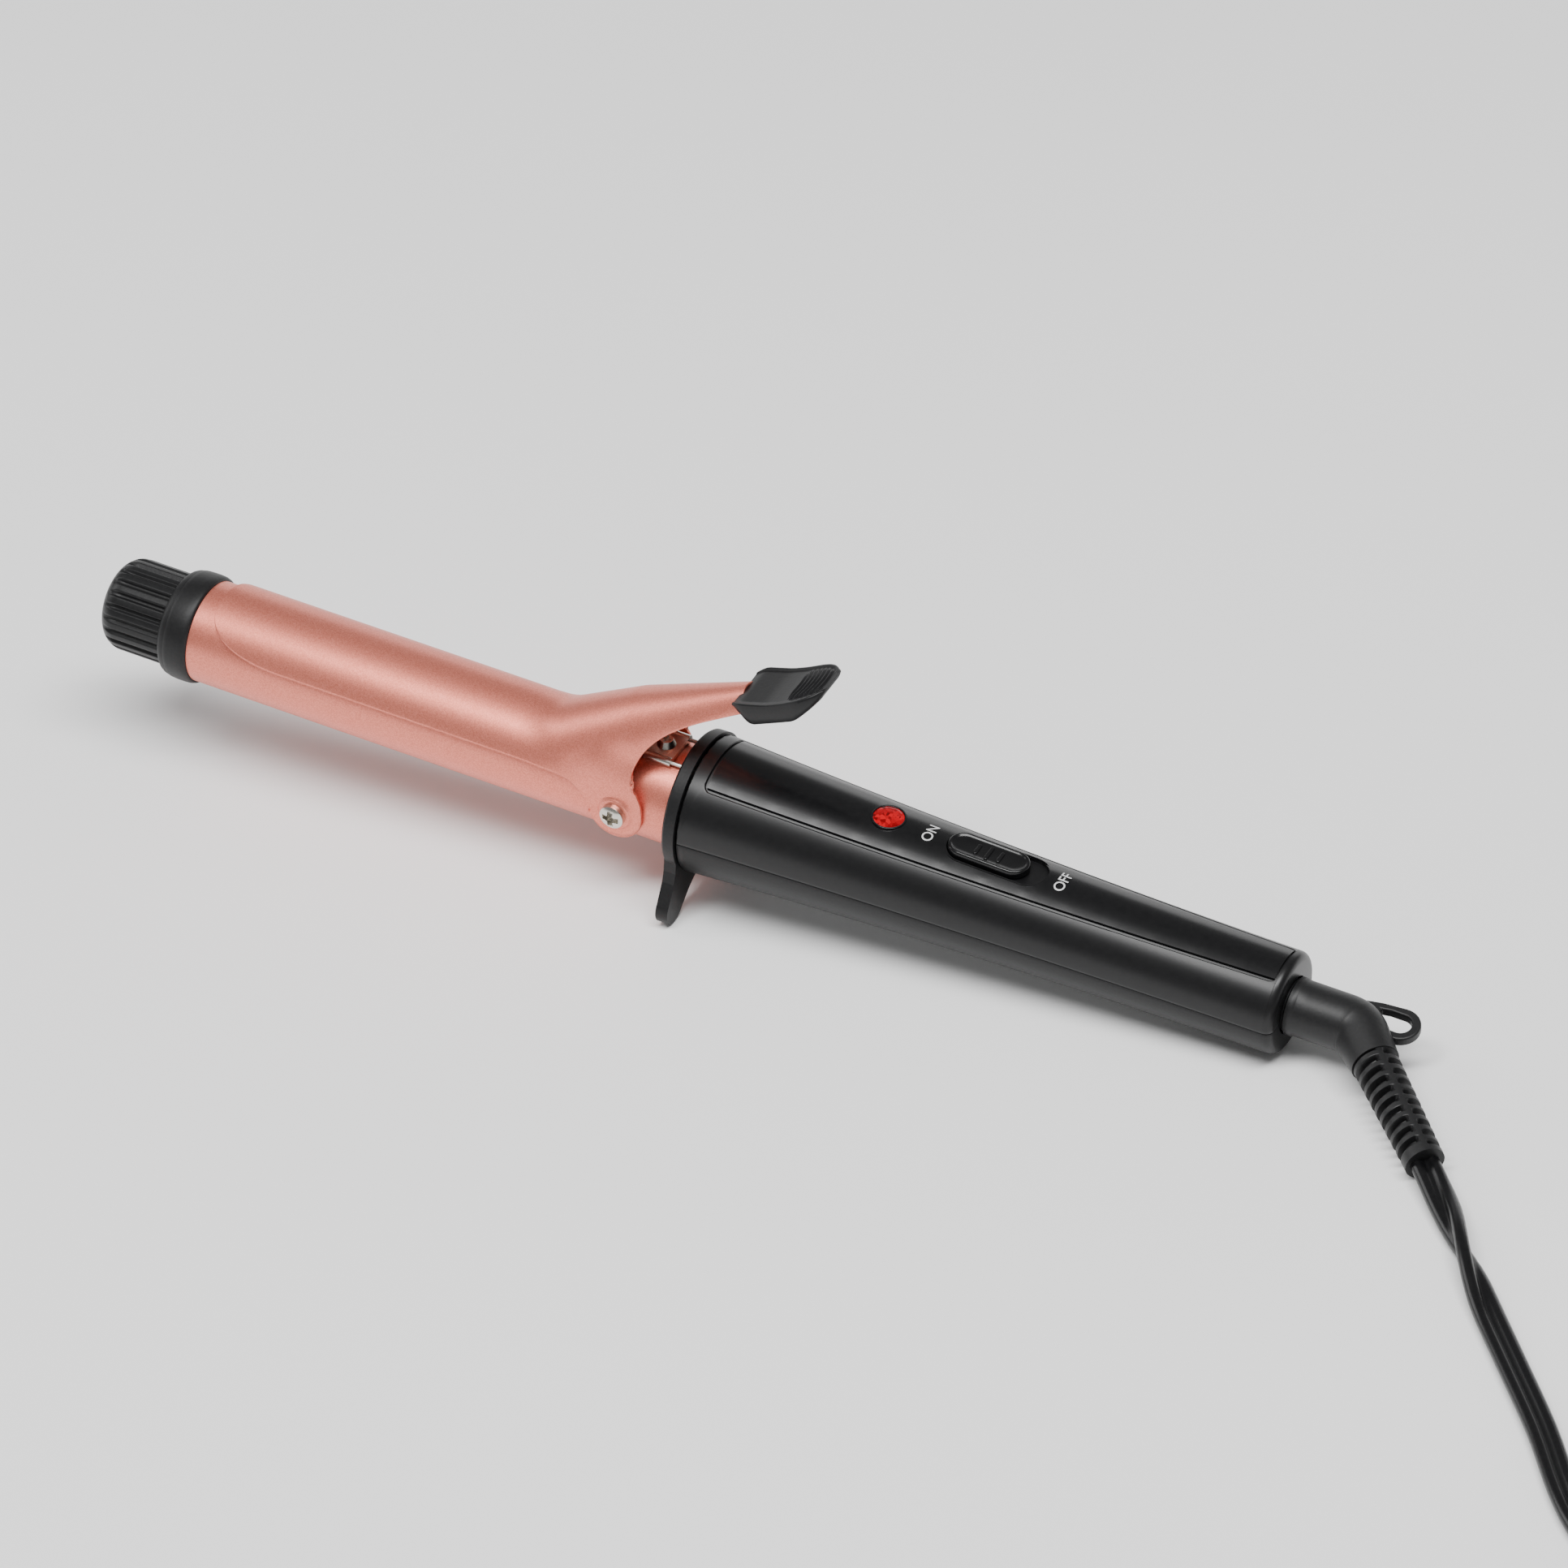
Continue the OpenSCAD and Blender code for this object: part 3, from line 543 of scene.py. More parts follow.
def panel_half(x):
    """Half the panel's width."""
    share = (x - PANEL_X) / (PANEL_END - PANEL_X)
    return PANEL_FRONT_HALF + (PANEL_REAR_HALF - PANEL_FRONT_HALF) * share


def rear_profile():
    """The rear rounding and the flat rear face with its opening."""
    rim = arc(HANDLE_END - REAR_ROUND, REAR_R - REAR_ROUND, REAR_ROUND, 80, 0, 6)
    return rim + [(HANDLE_END, REAR_HOLE_R), (HANDLE_END - 5, REAR_HOLE_R)]


def half_turn(upper, stations):
    """A half-round strip through [x, r] stations, rounded a little into the seam."""
    low, high = (-90, 90) if upper else (90, 270)
    angles = [low, low + 0.5, low + 1.2] + spaced(low + 5, high - 5, 44) + [high - 1.2, high - 0.5, high]
    verts = []
    for x, r in stations:
        for k, a in enumerate(angles):
            sink = SEAM_SINK[min(k, len(angles) - 1 - k, 2)] if r > REAR_HOLE_R + 1 else 0
            t = math.radians(a)
            verts.append((x, (r - sink) * math.sin(t), (r - sink) * math.cos(t)))
    return verts, grid_faces(len(stations), len(angles), closed_columns=False)


FRONT_LIP = [(HANDLE_X, FRONT_R - 1.4), (HANDLE_X, FRONT_R - 0.25), (HANDLE_X + 0.25, FRONT_R)]


def joined(*parts):
    """Several [verts, faces] as one."""
    verts = []
    faces = []
    for more_verts, more_faces in parts:
        base = len(verts)
        verts += more_verts
        faces += [tuple(base + i for i in face) for face in more_faces]
    return verts, faces


def lower_shell():
    """The plain half of the handle, front lip to rear face."""
    body = [(x, handle_r(x)) for x in spaced(HANDLE_X + 2, HANDLE_END - REAR_ROUND - 1, 40)]
    verts, faces = half_turn(False, FRONT_LIP + body + rear_profile())
    return piece("shell_lower", verts, faces, "charcoal_plastic", "handle", ("handle_lower",), sharp=50)


# Steps along the panel's sides, across its ends and round its corners.
LONG = 70
SHORT = 14
CORNER = 6
PANEL_CORNER = 1.6


def panel_loop(margin):
    """The panel's outline grown by margin, with rounded corners, as [x, angle] points round it."""
    x0 = PANEL_X - margin
    x1 = PANEL_END + min(margin, 0.45)
    front = x0 + PANEL_CORNER
    rear = x1 - PANEL_CORNER
    front_y = PANEL_FRONT_HALF + margin - PANEL_CORNER
    rear_y = PANEL_REAR_HALF + margin - PANEL_CORNER
    plan = [(x, -(panel_half(x) + margin)) for x in spaced(front, rear, LONG)]
    plan += arc(rear, -rear_y, PANEL_CORNER, -90, 0, CORNER)[1:-1]
    plan += [(x1, y) for y in spaced(-rear_y, rear_y, SHORT)]
    plan += arc(rear, rear_y, PANEL_CORNER, 0, 90, CORNER)[1:-1]
    plan += [(x, panel_half(x) + margin) for x in spaced(rear, front, LONG)]
    plan += arc(front, front_y, PANEL_CORNER, 90, 180, CORNER)[1:-1]
    plan += [(x0, y) for y in spaced(front_y, -front_y, SHORT)]
    plan += arc(front, -front_y, PANEL_CORNER, 180, 270, CORNER)[1:-1]
    return [(x, math.degrees(math.asin(y / handle_r(x)))) for x, y in plan]


def seam_loop():
    """The same number of points round the edge of the upper shell's skin."""
    x0 = HANDLE_X + 0.25
    x1 = HANDLE_END - REAR_ROUND
    tuck = 0.02
    near_seam = 90 - tuck * CORNER
    out = [(x, -90) for x in spaced(x0, x1, LONG)]
    out += [(x1, -90 + tuck * k) for k in range(1, CORNER)]
    out += [(x1, a) for a in spaced(-near_seam, near_seam, SHORT)]
    out += [(x1, 90 - tuck * (CORNER - k)) for k in range(1, CORNER)]
    out += [(x, 90) for x in spaced(x1, x0, LONG)]
    out += [(x0, 90 - tuck * k) for k in range(1, CORNER)]
    out += [(x0, a) for a in spaced(near_seam, -near_seam, SHORT)]
    out += [(x0, -90 + tuck * (CORNER - k)) for k in range(1, CORNER)]
    return out


def upper_skin():
    """The upper shell round its panel: a channel beside the panel, then out to the seam."""
    channel = [(-0.2, 0.6), (0.72, 0.6), (0.8, 0.15), (0.95, 0)]
    inner = panel_loop(channel[-1][0])
    outer = seam_loop()
    rings = [[(x, a, drop) for x, a in panel_loop(margin)] for margin, drop in channel]
    for t in [0.01, 0.03, 0.07] + spaced(0.12, 0.94, 16) + [0.985, 0.994, 1]:
        sink = {0.994: SEAM_SINK[1], 1: SEAM_SINK[0]}.get(t, 0)
        rings.append([(i[0] + (o[0] - i[0]) * t, i[1] + (o[1] - i[1]) * t, sink if abs(o[1]) == 90 else 0)
                      for i, o in zip(inner, outer)])
    verts = []
    for ring in rings:
        for x, a, drop in ring:
            r = handle_r(x) - drop
            verts.append((x, r * math.sin(math.radians(a)), r * math.cos(math.radians(a))))
    return verts, grid_faces(len(rings), len(inner))


def upper_shell():
    """Skin, front lip and rear face as one piece."""
    rear = [(HANDLE_END - REAR_ROUND, handle_r(HANDLE_END - REAR_ROUND))] + rear_profile()
    verts, faces = joined(upper_skin(), half_turn(True, FRONT_LIP), half_turn(True, rear))
    return piece("shell_upper", verts, faces, "handle_gloss", "handle", ("handle_upper",), sharp=40)


lower_shell()
upper_shell()


# ---- on the panel ------------------------------------------------------------------------------------

def on_panel(x):
    """A place on the panel's crown, level with its surface."""
    slope = math.atan2(handle_r(x - 1) - handle_r(x + 1), 2)
    return IRON @ Matrix.Translation((x, 0, handle_r(x))) @ Matrix.Rotation(slope, 4, "Y")


def stadium(length, r, inset, z, steps=12):
    """A round-ended slot shape along X, drawn in by inset, at height z."""
    far = length / 2 - r
    r = max(r - inset, 0.02)
    ends = arc(far, 0, r, -90, 90, steps) + arc(-far, 0, r, 90, 270, steps)
    return [(x, y, z) for x, y in ends]


def across(verts):
    """Points turned a quarter turn about Z."""
    return [(-y, x, z) for x, y, z in verts]


BUTTON_LEN = 20.4
BUTTON_R = 3.95
TRAY_LEN = 25.3
TRAY_R = 4.55
BAR_GAP = 2.9


def switch():
    """Slide button: straight sides, a raised rim, a shallow dish and three bars across."""
    steps = [(0, -1.1), (0, 0.15), (0.1, 0.55), (0.3, 0.8), (0.55, 0.86), (0.8, 0.8), (1.0, 0.6), (1.3, 0.45),
             (2.2, 0.36), (3.2, 0.33), (3.9, 0.33)]
    parts = [capped([stadium(BUTTON_LEN, BUTTON_R, inset, z) for inset, z in steps])]
    for x, length in ((-BAR_GAP, 3.6), (0, 4.6), (BAR_GAP, 3.6)):
        bar = [(0, 0.2), (0, 0.5), (0.08, 0.6), (0.22, 0.64), (0.4, 0.64)]
        verts, faces = capped([across(stadium(length, 0.5, inset, z, 6)) for inset, z in bar])
        parts.append(([(vx + x, vy, vz) for vx, vy, vz in verts], faces))
    verts, faces = joined(*parts)
    place = on_panel(SWITCH_X)
    return piece("slide_button", verts, faces, "button_plastic", "button", ("switch_button",), place, 50)


def switch_tray():
    """Floor and walls of the slot the button slides in."""
    middle = SWITCH_X + SWITCH_TRAVEL / 2 + 0.05
    steps = [(-0.4, -0.5), (-0.4, -1.5), (4.5, -1.5)]
    rings = [stadium(TRAY_LEN, TRAY_R, inset, z) for inset, z in steps]
    verts = [p for ring in rings for p in ring]
    faces = grid_faces(len(rings), len(rings[0]))
    return piece("switch_tray", verts, faces, "handle_gloss", "handle", (), on_panel(middle), 40)


LENS_R = 3.7
LENS_FACETS = 16


def lens():
    """A low red dome cut with facets, in a thin dark rim."""
    place = on_panel(LAMP_X)
    dome = [(LENS_R, -1), (LENS_R, 0.03), (3.1, 0.22), (2.3, 0.38), (1.4, 0.5), (0.5, 0.55), (0.02, 0.56)]
    verts, faces = capped([circle(r, z, LENS_FACETS, 0.5 * (k % 2)) for k, (r, z) in enumerate(dome)])
    piece("lamp_lens", verts, faces, "lamp_red", "handle", ("indicator_lens",), place, 4)
    profile = [(LENS_R, -0.2), (LENS_R, 0.12), (3.78, 0.2), (4.0, 0.2), (4.12, 0.12), (4.15, -0.2)]
    rim = [circle(r, z, 48) for r, z in profile]
    verts = [p for ring in rim for p in ring]
    piece("lamp_rim", verts, grid_faces(len(rim), len(rim[0])), "panel_gloss", "handle", (), place, 60)


LETTER_SIZE = 3.7
LETTER_WEIGHT = 0.02
PRINT_LIFT = 0.15
ON_X = 191.2
OFF_X = 225.0


def printed(x, y):
    """A point just over the panel's own surface, straight above (x, y) of the handle."""
    panel = frame["nodes"]["control_panel"]
    there = panel.matrix_world.inverted() @ IRON
    start = there @ Vector((x, y, 30))
    down = there @ Vector((x, y, 0)) - start
    found, spot, _, _ = panel.ray_cast(start, down.normalized())
    height = (there.inverted() @ spot).z if found else handle_r(x)
    return (x, y, height + PRINT_LIFT)


def lettering(name, word, x):
    """Printed letters wrapped on the panel, read from the near side, tops toward the tip."""
    font = bpy.data.curves.new(name, "FONT")
    font.body = word
    font.size = LETTER_SIZE
    font.offset = LETTER_WEIGHT
    font.align_x = "CENTER"
    font.align_y = "CENTER"
    drawn = bpy.data.objects.new(name, font)
    bpy.context.scene.collection.objects.link(drawn)
    flat = bpy.data.meshes.new_from_object(drawn)
    bpy.data.objects.remove(drawn)
    verts = [printed(x - v.co.y, v.co.x) for v in flat.vertices]
    faces = [tuple(face.vertices) for face in flat.polygons]
    bpy.data.meshes.remove(flat)
    return piece(name, verts, faces, "lettering", "handle")


switch()
switch_tray()
lens()
lettering("letters_on", "ON", ON_X)
lettering("letters_off", "OFF", OFF_X)


# ---- clamp -------------------------------------------------------------------------------------------

CLAMP_R = 13.55
CLAMP_SHEET = 0.7
CLAMP_FRONT = 4.7
NOSE_LEN = 20.3
NOSE_TOP = 13.75
EDGE_Z = 5.2
LEVER_X = 97
LEVER_RISE = math.radians(36)
LEVER_RADII = [(0, CLAMP_R), (28.5, 10.8), (60.6, 4.8)]
PIVOT_X = 116.2
EAR_R = 6.9
EAR_RISE = 6.0
EAR_FADE = (102, 8)
BLEND = 46
CROWN_BEND = 12.0
BOSS_Z = 14.1
SCREW_R = 3.1
SCREW_Z = 14.15
SCREW_DOME = 0.8
SCREW_HIGH = 2.05
# Crown of the clamp over its edge: distance along the edge from the lever's start, and x at the crown.
CROWN_FOR = [(0, 92), (9, 97), (20.2, 101.6), (41.7, 107.6), (48.1, 109.2), (51.2, 112.4), (53.7, 115.6),
             (91, 143.2)]


def along(points, x):
    """Value at x on straight lines through [x, value] points."""
    if x <= points[0][0]:
        return points[0][1]
    for (x0, v0), (x1, v1) in zip(points, points[1:]):
        if x <= x1:
            return v0 + (v1 - v0) * (x - x0) / (x1 - x0)
    return points[-1][1]


def clamp_square(x, z):
    """Square of the clamp's half width at a place in side view: spoon and lever, blended where they meet.

    Over the ears the sides stand straight up, clear of the barrel when the clamp opens."""
    straight = EAR_RISE * smooth((x - EAR_FADE[0]) / EAR_FADE[1])
    spoon = CLAMP_R ** 2 - max(z - straight, 0) ** 2
    t = (x - LEVER_X) * math.cos(LEVER_RISE) + z * math.sin(LEVER_RISE)
    up = z * math.cos(LEVER_RISE) - (x - LEVER_X) * math.sin(LEVER_RISE)
    lever = along(LEVER_RADII, t) ** 2 - max(up, 0) ** 2
    near = max(BLEND - abs(spoon - lever), 0) / BLEND
    return max(spoon, lever) + near * near * BLEND / 4


def crown_z(x):
    """Height where the clamp's half width comes down to nothing, found by halving."""
    low, high = 0.0, 60.0
    for _ in range(40):
        middle = (low + high) / 2
        if clamp_square(x, middle) > 0:
            low = middle
        else:
            high = middle
    return low


def clamp_edge():
    """The clamp's edge in side view: nose, spoon, throat, round the ear and up under the lever."""
    nose = []
    for degrees in spaced(88, 0, 36):
        a = math.radians(degrees)
        x = CLAMP_FRONT + NOSE_LEN * (1 - math.sin(a))
        nose.append((x, NOSE_TOP - (NOSE_TOP - EDGE_Z) * math.cos(a)))
    spoon = [(x, EDGE_Z) for x in spaced(CLAMP_FRONT + NOSE_LEN + 2.5, LEVER_X, 28)]
    throat = [(101, 5.2), (104, 4.7), (106.6, 3.2), (108.4, 0.9), (109.3, -1.2)]
    throat = [(p.x, p.y) for p in catmull([(x, z, 0) for x, z in throat], 4)]
    ear = arc(PIVOT_X, 0, EAR_R, 195, 350, 26)
    back = [(123.1, 1), (122.8, 4), (121.7, 7), (120.3, 9.6), (119.8, 12), (120.7, 15.4), (123.2, 20),
            (127, 24.2), (133, 28.6), (140, 32.6), (146, 35.8)]
    back = [(p.x, p.y) for p in catmull([(x, z, 0) for x, z in back], 5)]
    return nose + spoon + throat + ear + back


def clamp_column(foot, crown_x, steps=26):
    """Points from the crown down to one place on the edge, in side view, closer together near the crown."""
    top = crown_z(crown_x)
    reach = math.hypot(foot[0] - crown_x, foot[1] - top)
    bend = CROWN_BEND
    total = bend * math.acos(1 - min(reach, bend) / bend) + max(reach - bend, 0)
    out = []
    for k in range(steps + 1):
        gone = total * k / steps
        down = gone - bend * (math.pi / 2 - 1)
        if gone < bend * math.pi / 2:
            down = bend * (1 - math.cos(gone / bend))
        share = min(down / reach, 1)
        x = crown_x + (foot[0] - crown_x) * share
        z = top + (foot[1] - top) * share
        y = math.sqrt(max(clamp_square(x, z), 0)) if k else 0
        out.append((x, y, z))
    return out


def clamp():
    """The whole pressed sheet, as columns from one edge over the crown to the other."""
    edge = clamp_edge()
    rings = []
    gone = 0.0
    for i, foot in enumerate(edge):
        if foot[0] > CROWN_FOR[0][1] or gone:
            gone += math.hypot(foot[0] - edge[i - 1][0], foot[1] - edge[i - 1][1])
        column = clamp_column(foot, along(CROWN_FOR, gone) if gone else foot[0])
        rings.append([(x, -y, z) for x, y, z in reversed(column[1:])] + column)
    verts = [p for ring in rings for p in ring]
    faces = grid_faces(len(rings), len(rings[0]), closed_columns=False)
    obj = piece("clamp_sheet", verts, faces, "rose_gold", "clamp", ("clamp",), sharp=60)
    crown = max(obj.data.polygons, key=lambda face: face.center.z)
    if crown.normal.z < 0:
        obj.data.flip_normals()
    sheet = obj.modifiers.new("sheet", "SOLIDIFY")
    sheet.thickness = CLAMP_SHEET * MM
    sheet.offset = -1
    return obj


def pivot_side(side):
    """A frame at a pivot: Z points out of the ear."""
    return IRON @ Matrix.Translation((PIVOT_X, 0, 0)) @ Matrix.Rotation(math.radians(-90 * side), 4, "X")


def upright(profile, segments=64):
    """A solid turned about Z from [r, z] points."""
    return capped([circle(r, z, segments) for r, z in profile])


def screw_face(r, a):
    """Height of a domed screw head with a cross recess."""
    wide = sorted((abs(r * math.cos(a)), abs(r * math.sin(a))))
    recess = smooth((0.68 - wide[0]) / 0.14) * smooth((2.1 - wide[1]) / 0.25)
    core = smooth((1.15 - r) / 0.2)
    return SCREW_HIGH - SCREW_DOME * (r / SCREW_R) ** 2.6 - 1.6 * max(recess, core)


def pivots():
    """A boss pressed out of each ear and a screw through it."""
    for side, word in ((-1, "near"), (1, "far")):
        boss = [(4.9, 13.3), (4.6, 13.55), (4.3, 13.7), (4.1, 13.9), (3.95, 14.05), (3.7, BOSS_Z),
                (1.7, BOSS_Z), (1.6, 13.3)]
        verts, faces = upright(boss)
        piece("clamp_boss_" + word, verts, faces, "rose_gold", "clamp", (), pivot_side(side), 60)
        rings = [circle(SCREW_R, z, 96, 0.5) for z in (SCREW_Z, SCREW_Z + 1)]
        for r in spaced(SCREW_R - 0.08, 0.02, 48):
            flat = circle(r, SCREW_Z, 96, 0.5)
            rings.append([(x, y, z + screw_face(r, math.atan2(y, x))) for x, y, z in flat])
        verts, faces = capped(rings)
        place = pivot_side(side)
        piece("pivot_screw_" + word, verts, faces, "nickel", "handle", ("pivot_screws",), place, 40)


# ---- thumb rest --------------------------------------------------------------------------------------

REST_TOP = [(0.6, 2.3), (2.4, 2.9), (6, 2.5), (10, 2.1), (14, 2.25), (18, 2.7), (22, 3.3), (25.8, 3.5)]
REST_BOTTOM = [(1.5, 2.0), (3.2, -3.6), (16, -3.1), (21, -0.6), (25.3, 1.8), (25.8, 3.2)]
REST_HALF = [(0.4, 6.4), (3, 8), (12, 8.1), (19, 8), (22, 7.3), (24.4, 5.9), (25.8, 3.6)]
DISH = 0.22
RIDGE_PITCH = 1.3
RIDGE_HIGH = 0.45
RIDGE_FROM = 15.6
RIDGE_TO = 24.8


def softened(points, u, reach=1.1):
    """Height along a line of points, with its corners rounded over reach on both sides."""
    return sum(along(points, u + reach * step) for step in (-1, -0.5, 0, 0.5, 1)) / 5


def rest_section(u):
    """Half outline of the thumb rest at u, from the middle of its top round to the middle of its bottom."""
    top = softened(REST_TOP, u)
    low = softened(REST_BOTTOM, u)
    half = softened(REST_HALF, u)
    tall = top - low
    out = []
    for share in (0, 0.2, 0.4, 0.58, 0.7, 0.78):
        y = share * (half - 0.6)
        ridge = 0.0
        if share < 0.75:
            phase = (u + 0.03 * y * y - RIDGE_FROM - 0.6) / RIDGE_PITCH
            wave = 0.5 + 0.5 * math.cos(2 * math.pi * phase)
            ridge = RIDGE_HIGH * wave * smooth((u - RIDGE_FROM) / 0.4) * smooth((RIDGE_TO - u) / 0.4)
        out.append((y, top - DISH + ridge))
    out += [(half - 1.15, top - 0.2), (half - 1.0, top - 0.02), (half - 0.55, top), (half - 0.2, top - 0.1)]
    out += [(half, top - 0.18 * tall), (half - 0.15, top - 0.55 * tall), (half - 0.75, low + 0.12 * tall)]
    out += [(half - 1.4, low), (0, low)]
    return out


def thumb_rest():
    """Thumb rest: a dished, ridged top over rounded sides."""
    place = IRON @ Matrix.Translation(THUMB_AT) @ Matrix.Rotation(math.radians(-THUMB_TILT), 4, "Y")
    rings = []
    for u in [0.9, 1.1, 1.5, 2.2, 3, 3.4] + spaced(4, 15, 16) + spaced(15.2, 25.2, 90) + [25.5, 25.8]:
        half = rest_section(u)
        rings.append([(u, y, z) for y, z in half] + [(u, -y, z) for y, z in reversed(half[1:-1])])
    verts, faces = capped(rings)
    return piece("thumb_grip", verts, faces, "grip_plastic", "clamp", ("thumb_rest",), place, 58)


def spring():
    """The wire spring's own CAD shape, riding stiffly on the handle; on the iron its free end goes down under
    the lever as the clamp opens.
    """
    cad = frame["nodes"]["clamp_spring"]
    obj = bpy.data.objects.new("spring_wire", cad.data.copy())
    bpy.context.scene.collection.objects.link(obj)
    obj.matrix_world = cad.matrix_world.copy()
    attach(obj, "handle")
    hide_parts("clamp_spring")
    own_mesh(obj)


clamp()
pivots()
thumb_rest()
spring()


# ---- swivel elbow and strain relief ------------------------------------------------------------------

BENT = (IRON @ Matrix.Translation((ELBOW_X, 0, 0)) @ Matrix.Rotation(math.radians(-ELBOW_TURN), 4, "X")
        @ Matrix.Rotation(math.radians(ELBOW_BEND), 4, "Y"))
LEVEL = IRON @ Matrix.Rotation(math.radians(-ELBOW_TURN), 4, "X")
BEND_R = 7.5
NECK_RING = (283.4, 285.2)


def elbow_path():
    """Neck, bend and cone, as points in the bend's plane: x and z."""
    half = BEND_R * math.tan(math.radians(ELBOW_BEND / 2))
    out = [(x, 0.0) for x in (276, 281, 283.3, 283.5, 283.8, 284.5, 285.2, 285.5, 285.8, 288, 292)]
    for i in range(13):
        a = math.radians(ELBOW_BEND * i / 12)
        out.append((ELBOW_X - half + BEND_R * math.sin(a), -BEND_R * (1 - math.cos(a))))
    down = math.radians(ELBOW_BEND)
    for t in spaced(half + 0.6, CONE_LEN, 6):
        out.append((ELBOW_X + t * math.cos(down), -t * math.sin(down)))
    return out


def elbow_radius(x, z):
    """Neck with a low ring just behind the handle, then a cone after the bend."""
    t = math.hypot(x - ELBOW_X, z) if x > ELBOW_X else 0
    ring = smooth((x - NECK_RING[0]) / 0.3) * 0.75 - smooth((x - NECK_RING[1]) / 0.5) * 0.25
    return NECK_R + ring - min(1.0, t / CONE_LEN)


def elbow():
    """The elbow's round body, swept along its bend."""
    rings = []
    path = elbow_path()
    for i, (x, z) in enumerate(path):
        x1, z1 = path[min(i + 1, len(path) - 1)]
        x0, z0 = path[max(i - 1, 0)]
        length = math.hypot(x1 - x0, z1 - z0)
        tx, tz = (x1 - x0) / length, (z1 - z0) / length
        section = circle(elbow_radius(x, z), 0, 64)
        rings.append([(x - up * tz, side, z + up * tx) for up, side, _ in section])
    verts, faces = capped(rings)
    return piece("elbow_neck", verts, faces, "cord_moulding", "swivel", ("cord_elbow",), LEVEL, 40)


RELIEF_PITCH = 3.1
RELIEF_END = 1.6
SLOT_HALF = 0.78
SLOT_ARC = math.radians(80)
SPINE_TURN = math.radians(7)
# Outer and core radius of the sleeve at its start, and what each loses by its end.
RELIEF_OUTER = (5.4, 0.7)
RELIEF_CORE = (3.5, 0.4)


def relief_radius(x, a):
    """Ribbed sleeve: slots from one side and, half a pitch on, from the other, with a spine between."""
    share = (x - CONE_LEN) / (RELIEF_LEN - CONE_LEN)
    outer = RELIEF_OUTER[0] - RELIEF_OUTER[1] * share
    core = RELIEF_CORE[0] - RELIEF_CORE[1] * share
    cut = 0.0
    for turn, offset in ((SPINE_TURN, 0.35), (SPINE_TURN + math.pi, 0.85)):
        phase = ((x - CONE_LEN) / RELIEF_PITCH - offset) % 1.0
        away = min(phase, 1 - phase) * RELIEF_PITCH
        around = abs((a - turn + math.pi) % (2 * math.pi) - math.pi)
        cut = max(cut, smooth((SLOT_HALF + 0.12 - away) / 0.24) * smooth((SLOT_ARC - around) / 0.1))
    if x > RELIEF_LEN - RELIEF_END:
        cut = 0.0
    return outer - (outer - core) * cut


def strain_relief():
    """The sleeve as one turned solid."""
    profile = [(x, RELIEF_OUTER[0]) for x in spaced(CONE_LEN - 0.2, RELIEF_LEN, 190)]
    verts, faces = turned(profile, 72, radius_at=lambda x, r, a: relief_radius(x, a))
    return piece("strain_relief", verts, faces, "cord_moulding", "swivel", (), BENT, 50)


EYE_X = 308.1
EYE_Z = 4.1
EYE_R = 4.75
EYE_HOLE_R = 2.6
EYE_HALF = 1.25
EYE_ROUND = 0.55


def hang_eye():
    """D-shaped eye: a flat band round a hole, in the plane of the bend."""
    above = [(292.5, 5.6), (297, 7.2), (302, 8.3)]
    below = [(303.5, -1.2), (300, -1.5), (294, 0)]
    outer = above + arc(EYE_X, EYE_Z, EYE_R, 96, -96, 20) + below
    hole = [(302.4, 6.3), (304.6, 6.7)] + arc(EYE_X, EYE_Z, EYE_HOLE_R, 92, -92, 16)
    hole += [(305.4, 1.6), (304.4, 2.1)]
    return flat_band("hang_eye", outer, hole, EYE_HALF)


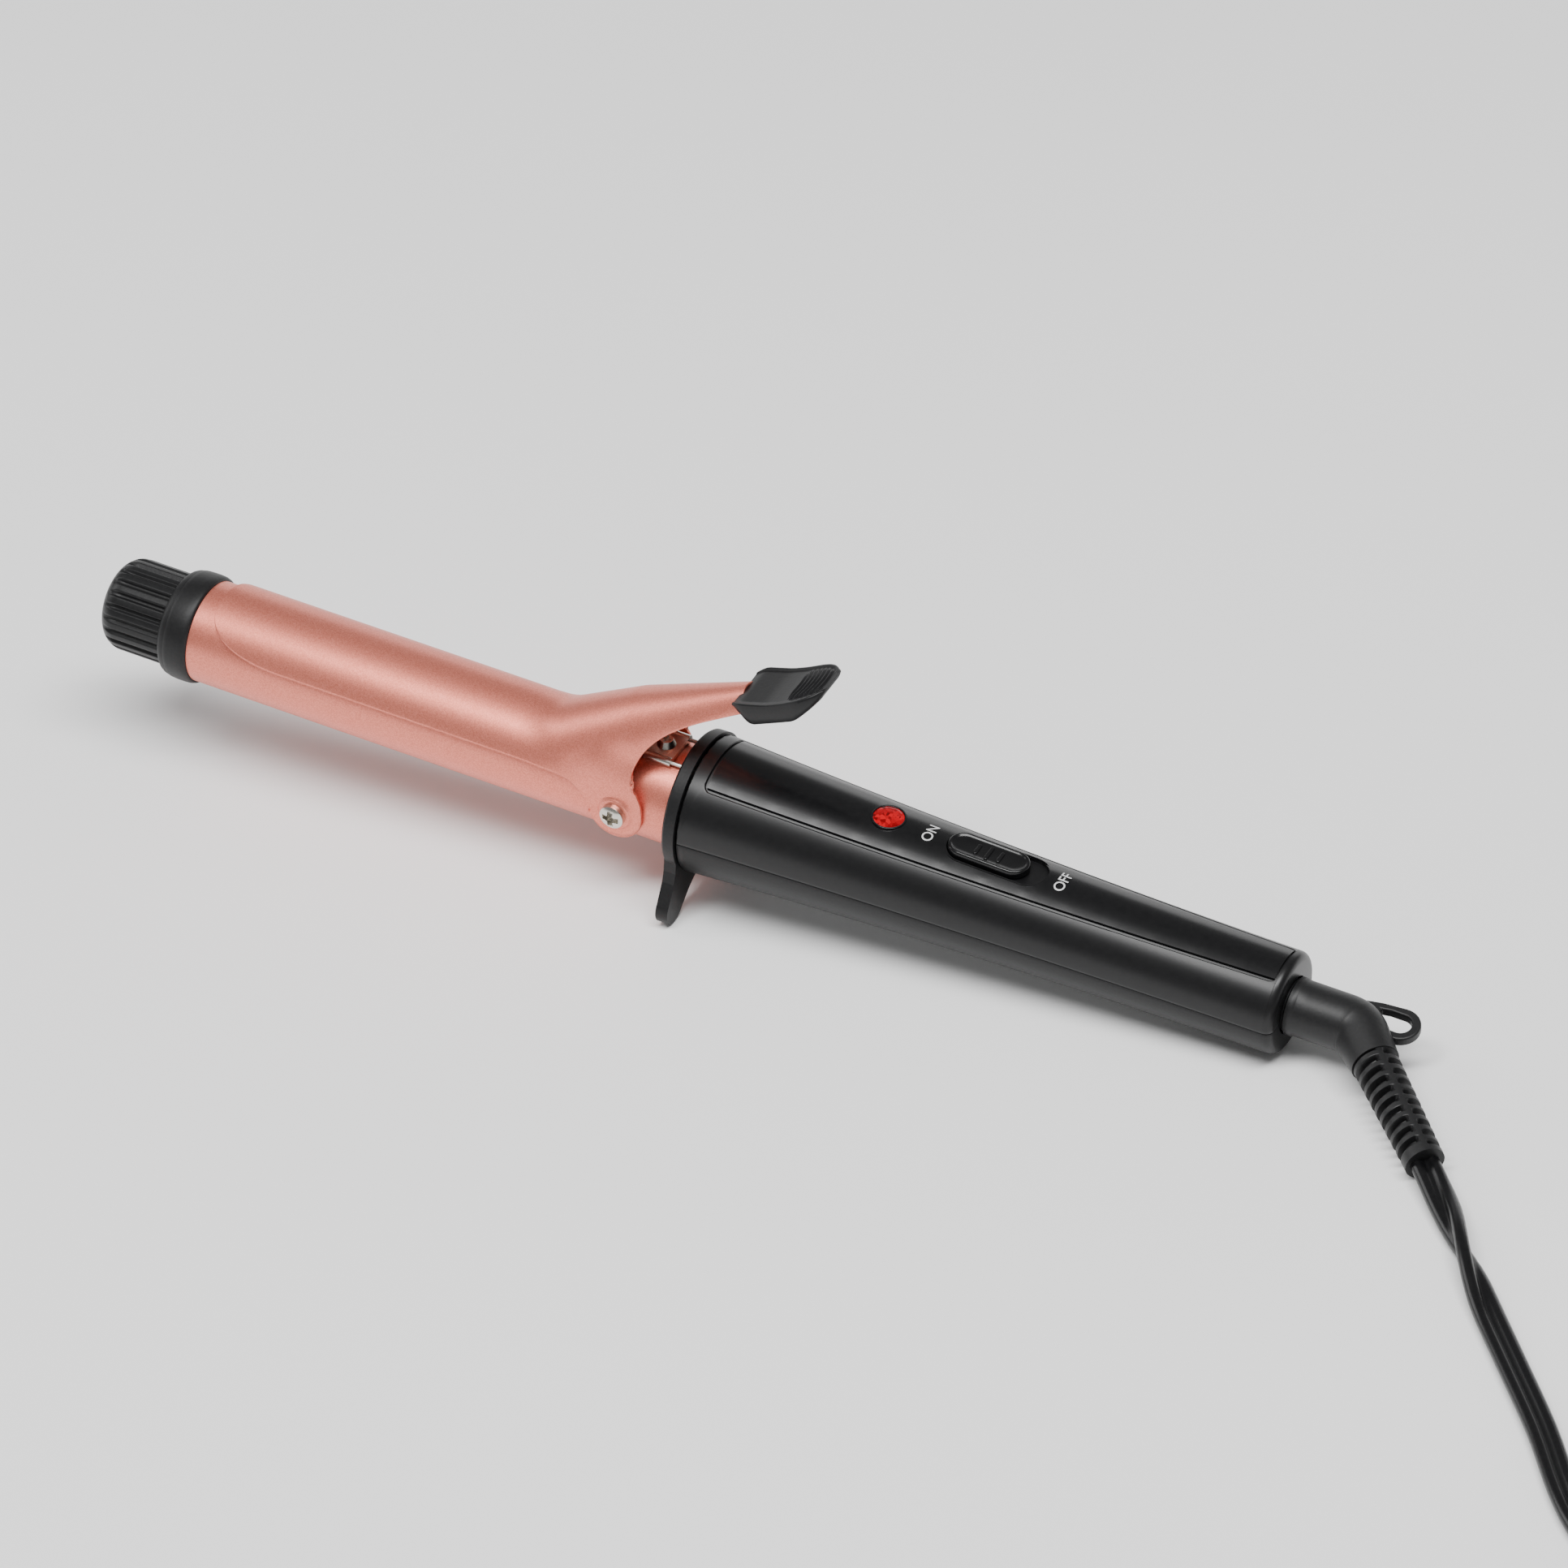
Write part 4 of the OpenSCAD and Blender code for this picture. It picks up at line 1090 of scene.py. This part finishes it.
def flat_band(name, outer, hole, half):
    """A plate of an outline with a hole, in X and Z, of half thickness either side."""
    edit = bmesh.new()
    loops = []
    for outline in (outer, hole):
        ring = [edit.verts.new((x, -half, z)) for x, z in outline]
        loops.append([edit.edges.new((ring[i], ring[(i + 1) % len(ring)])) for i in range(len(ring))])
    edges = [edge for loop in loops for edge in loop]
    bmesh.ops.triangle_fill(edit, use_beauty=True, use_dissolve=False, edges=edges)
    flat = list(edit.faces)
    grown = bmesh.ops.extrude_face_region(edit, geom=flat)
    top = [v for v in grown["geom"] if isinstance(v, bmesh.types.BMVert)]
    bmesh.ops.translate(edit, verts=top, vec=(0, 2 * half, 0))
    # The extrusion lists its points and faces in no fixed order, so both are put in one.
    verts = sorted(tuple(v.co) for v in edit.verts)
    place_of = {co: i for i, co in enumerate(verts)}
    faces = [[place_of[tuple(v.co)] for v in f.verts] for f in edit.faces]
    faces = sorted(tuple(f[f.index(min(f)):] + f[:f.index(min(f))]) for f in faces)
    edit.free()
    return piece(name, verts, faces, "cord_moulding", "swivel", (), LEVEL, 40, bevel=EYE_ROUND)


elbow()
strain_relief()
hang_eye()


# ---- floor and light -------------------------------------------------------------------------------

FLOOR_HALF = 6.0
FLOOR_DROP = 0.0003
WORLD = 0.27


def floor():
    """A plain white table, just under the iron."""
    corners = [(FLOOR_HALF * x, FLOOR_HALF * y, 0) for x, y in ((-1, -1), (1, -1), (1, 1), (-1, 1))]
    mesh = bpy.data.meshes.new("floor")
    mesh.from_pydata(corners, [], [(0, 1, 2, 3)])
    obj = bpy.data.objects.new("floor", mesh)
    bpy.context.scene.collection.objects.link(obj)
    obj.location.z = -FLOOR_DROP
    mat, tree, shader = new_material("floor_white")
    fac = grain(tree, 3)
    tree.links.new(ramp(tree, fac, (0.9, 0.9, 0.9), (0.92, 0.92, 0.92)), shader.inputs["Base Color"])
    shader.inputs["Roughness"].default_value = 0.9
    shader.inputs["Specular IOR Level"].default_value = 0.0
    mesh.materials.append(mat)


def area_light(name, place, aim, size, size_y, power):
    """A rectangular lamp turned toward aim."""
    data = bpy.data.lights.new(name, "AREA")
    data.shape = "RECTANGLE"
    data.size = size
    data.size_y = size_y
    data.energy = power
    obj = bpy.data.objects.new(name, data)
    bpy.context.scene.collection.objects.link(obj)
    obj.location = place
    obj.rotation_euler = (Vector(aim) - Vector(place)).to_track_quat("-Z", "Y").to_euler()


def light():
    """White surroundings, a long lamp above, and weaker ones behind and at the tip."""
    world = bpy.data.worlds.new("world")
    bpy.context.scene.world = world
    world.use_nodes = True
    back = world.node_tree.nodes["Background"]
    back.inputs["Color"].default_value = (1, 1, 1, 1)
    back.inputs["Strength"].default_value = WORLD
    area_light("key", (0.24, -0.4, 1.44), (0.0, 0.0, 0.0), 1.6, 0.42, 38)
    area_light("rear", (-0.4, 1.3, 0.3), (0.0, 0.0, 0.03), 1.8, 0.5, 4)
    area_light("left", (-1.2, -0.1, 0.7), (0.0, 0.0, 0.0), 0.4, 1.0, 5)


floor()
light()
